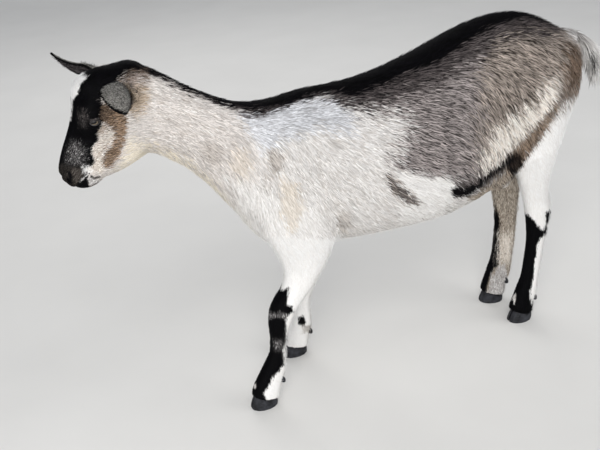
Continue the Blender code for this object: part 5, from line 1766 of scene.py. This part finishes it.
def stage_piece():
    bm = bmesh.new()
    bmesh.ops.create_grid(bm, x_segments=8, y_segments=8, size=FLOOR_HALF_WIDTH)
    mesh = mesh_of(bm, "floor")
    floor = new_object("floor", mesh)
    mesh.materials.append(stage_material())


def area_light(name, place, aim, size, power):
    light = bpy.data.lights.new(name, "AREA")
    light.shape = "DISK"
    light.size = size
    light.energy = power
    obj = new_object(name, light)
    obj.location = place
    obj.rotation_euler = (Vector(aim) - Vector(place)).to_track_quat("-Z", "Y").to_euler()


SKY = (0.92, 0.95, 1.0, 1)
SKY_STRENGTH = 0.58
LAMPS = (                        # name, place, what it is aimed at, width and power
    ("key", (-1.4, -2.8, 3.4), (0, 0, 0.5), 2.2, 60),
    ("low", (-1.7, -3.0, 0.9), (0, 0, 0.4), 1.8, 54),
    ("fill", (2.8, -1.8, 2.2), (0, 0, 0.5), 2.6, 32),
    ("back", (0.4, 3.0, 2.8), (0, 0, 0.6), 2.4, 34),
)


def lights():
    for lamp in LAMPS:
        area_light(*lamp)
    world = bpy.data.worlds.new("studio")
    bpy.context.scene.world = world
    world.use_nodes = True
    background = world.node_tree.nodes["Background"]
    background.inputs["Color"].default_value = SKY
    background.inputs["Strength"].default_value = SKY_STRENGTH
    bpy.context.scene.view_settings.view_transform = "Standard"
    bpy.context.scene.view_settings.look = "None"


def camera():
    data = bpy.data.cameras.new("camera")
    data.lens = CAMERA_LENS
    data.sensor_width = CAMERA_SENSOR
    data.clip_start = 0.01
    obj = new_object("camera", data)
    axes = Matrix((CAMERA_RIGHT, CAMERA_UP, -CAMERA_AHEAD)).transposed().to_4x4()
    obj.matrix_world = Matrix.Translation(CAMERA_PLACE + SHIFT) @ axes
    bpy.context.scene.camera = obj


SKIN_TIP_SHARE = 0.4             # how far the skin's colours go from a tuft's root to its tip, so that the skin is darker than the coat: partly painted shade in the gaps between tufts
SKIN_LIGHTEST = 0.9
SKIN_RELIEF = 0.0004


def main():
    camera()
    lights()
    stage_piece()
    mesh, owner, chart = skin_mesh()
    skin = Skin(mesh, owner, chart)
    draws = np.random.default_rng(STREAK_SEED)
    streaks = Streaks(skin, draws)
    coat = coat_material("coat", 0)
    hide = coat_material("skin", SKIN_RELIEF)
    skin_piece = new_object("skin", mesh)
    mesh.materials.clear()
    mesh.materials.append(hide)
    shade = streaks.at(skin.points)
    colours = np.ones((len(skin.points), 3))
    for index, name in enumerate(FLESH):
        picked = owner == index
        if picked.any():
            canvas = painted(name, skin.points[picked], shade[picked], chart[picked])
            colours[picked] = canvas.root * (1 - SKIN_TIP_SHARE) + canvas.tip * SKIN_TIP_SHARE
    coloured(mesh, np.clip(colours, 0, SKIN_LIGHTEST))
    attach(skin_piece, BODY)
    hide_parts(*FLESH)
    for seed, (name, node, count, width) in enumerate(COAT_PIECES):
        piece = coat_piece(skin, streaks, name, node, count, width, COAT_SEED + seed)
        piece.data.materials.append(coat)
        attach(piece, BODY)
    tail = tail_piece(skin)
    tail.data.materials.append(coat)
    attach(tail, BODY)
    look = eye_material()
    wet = wet_material()
    for name, side in (("eye_left", -1), ("eye_right", 1)):
        piece = eye_piece(name + "_ball", side, look)
        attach(piece, BODY)
        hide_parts(name)
        margin = lid_margin(name + "_lid_edge", side, wet)
        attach(margin, BODY)
    horn = horn_material()
    for name, node in NODES.items():
        if name.startswith(("hoof", "dewclaw")):
            node.data.materials.clear()
            node.data.materials.append(horn)


main()
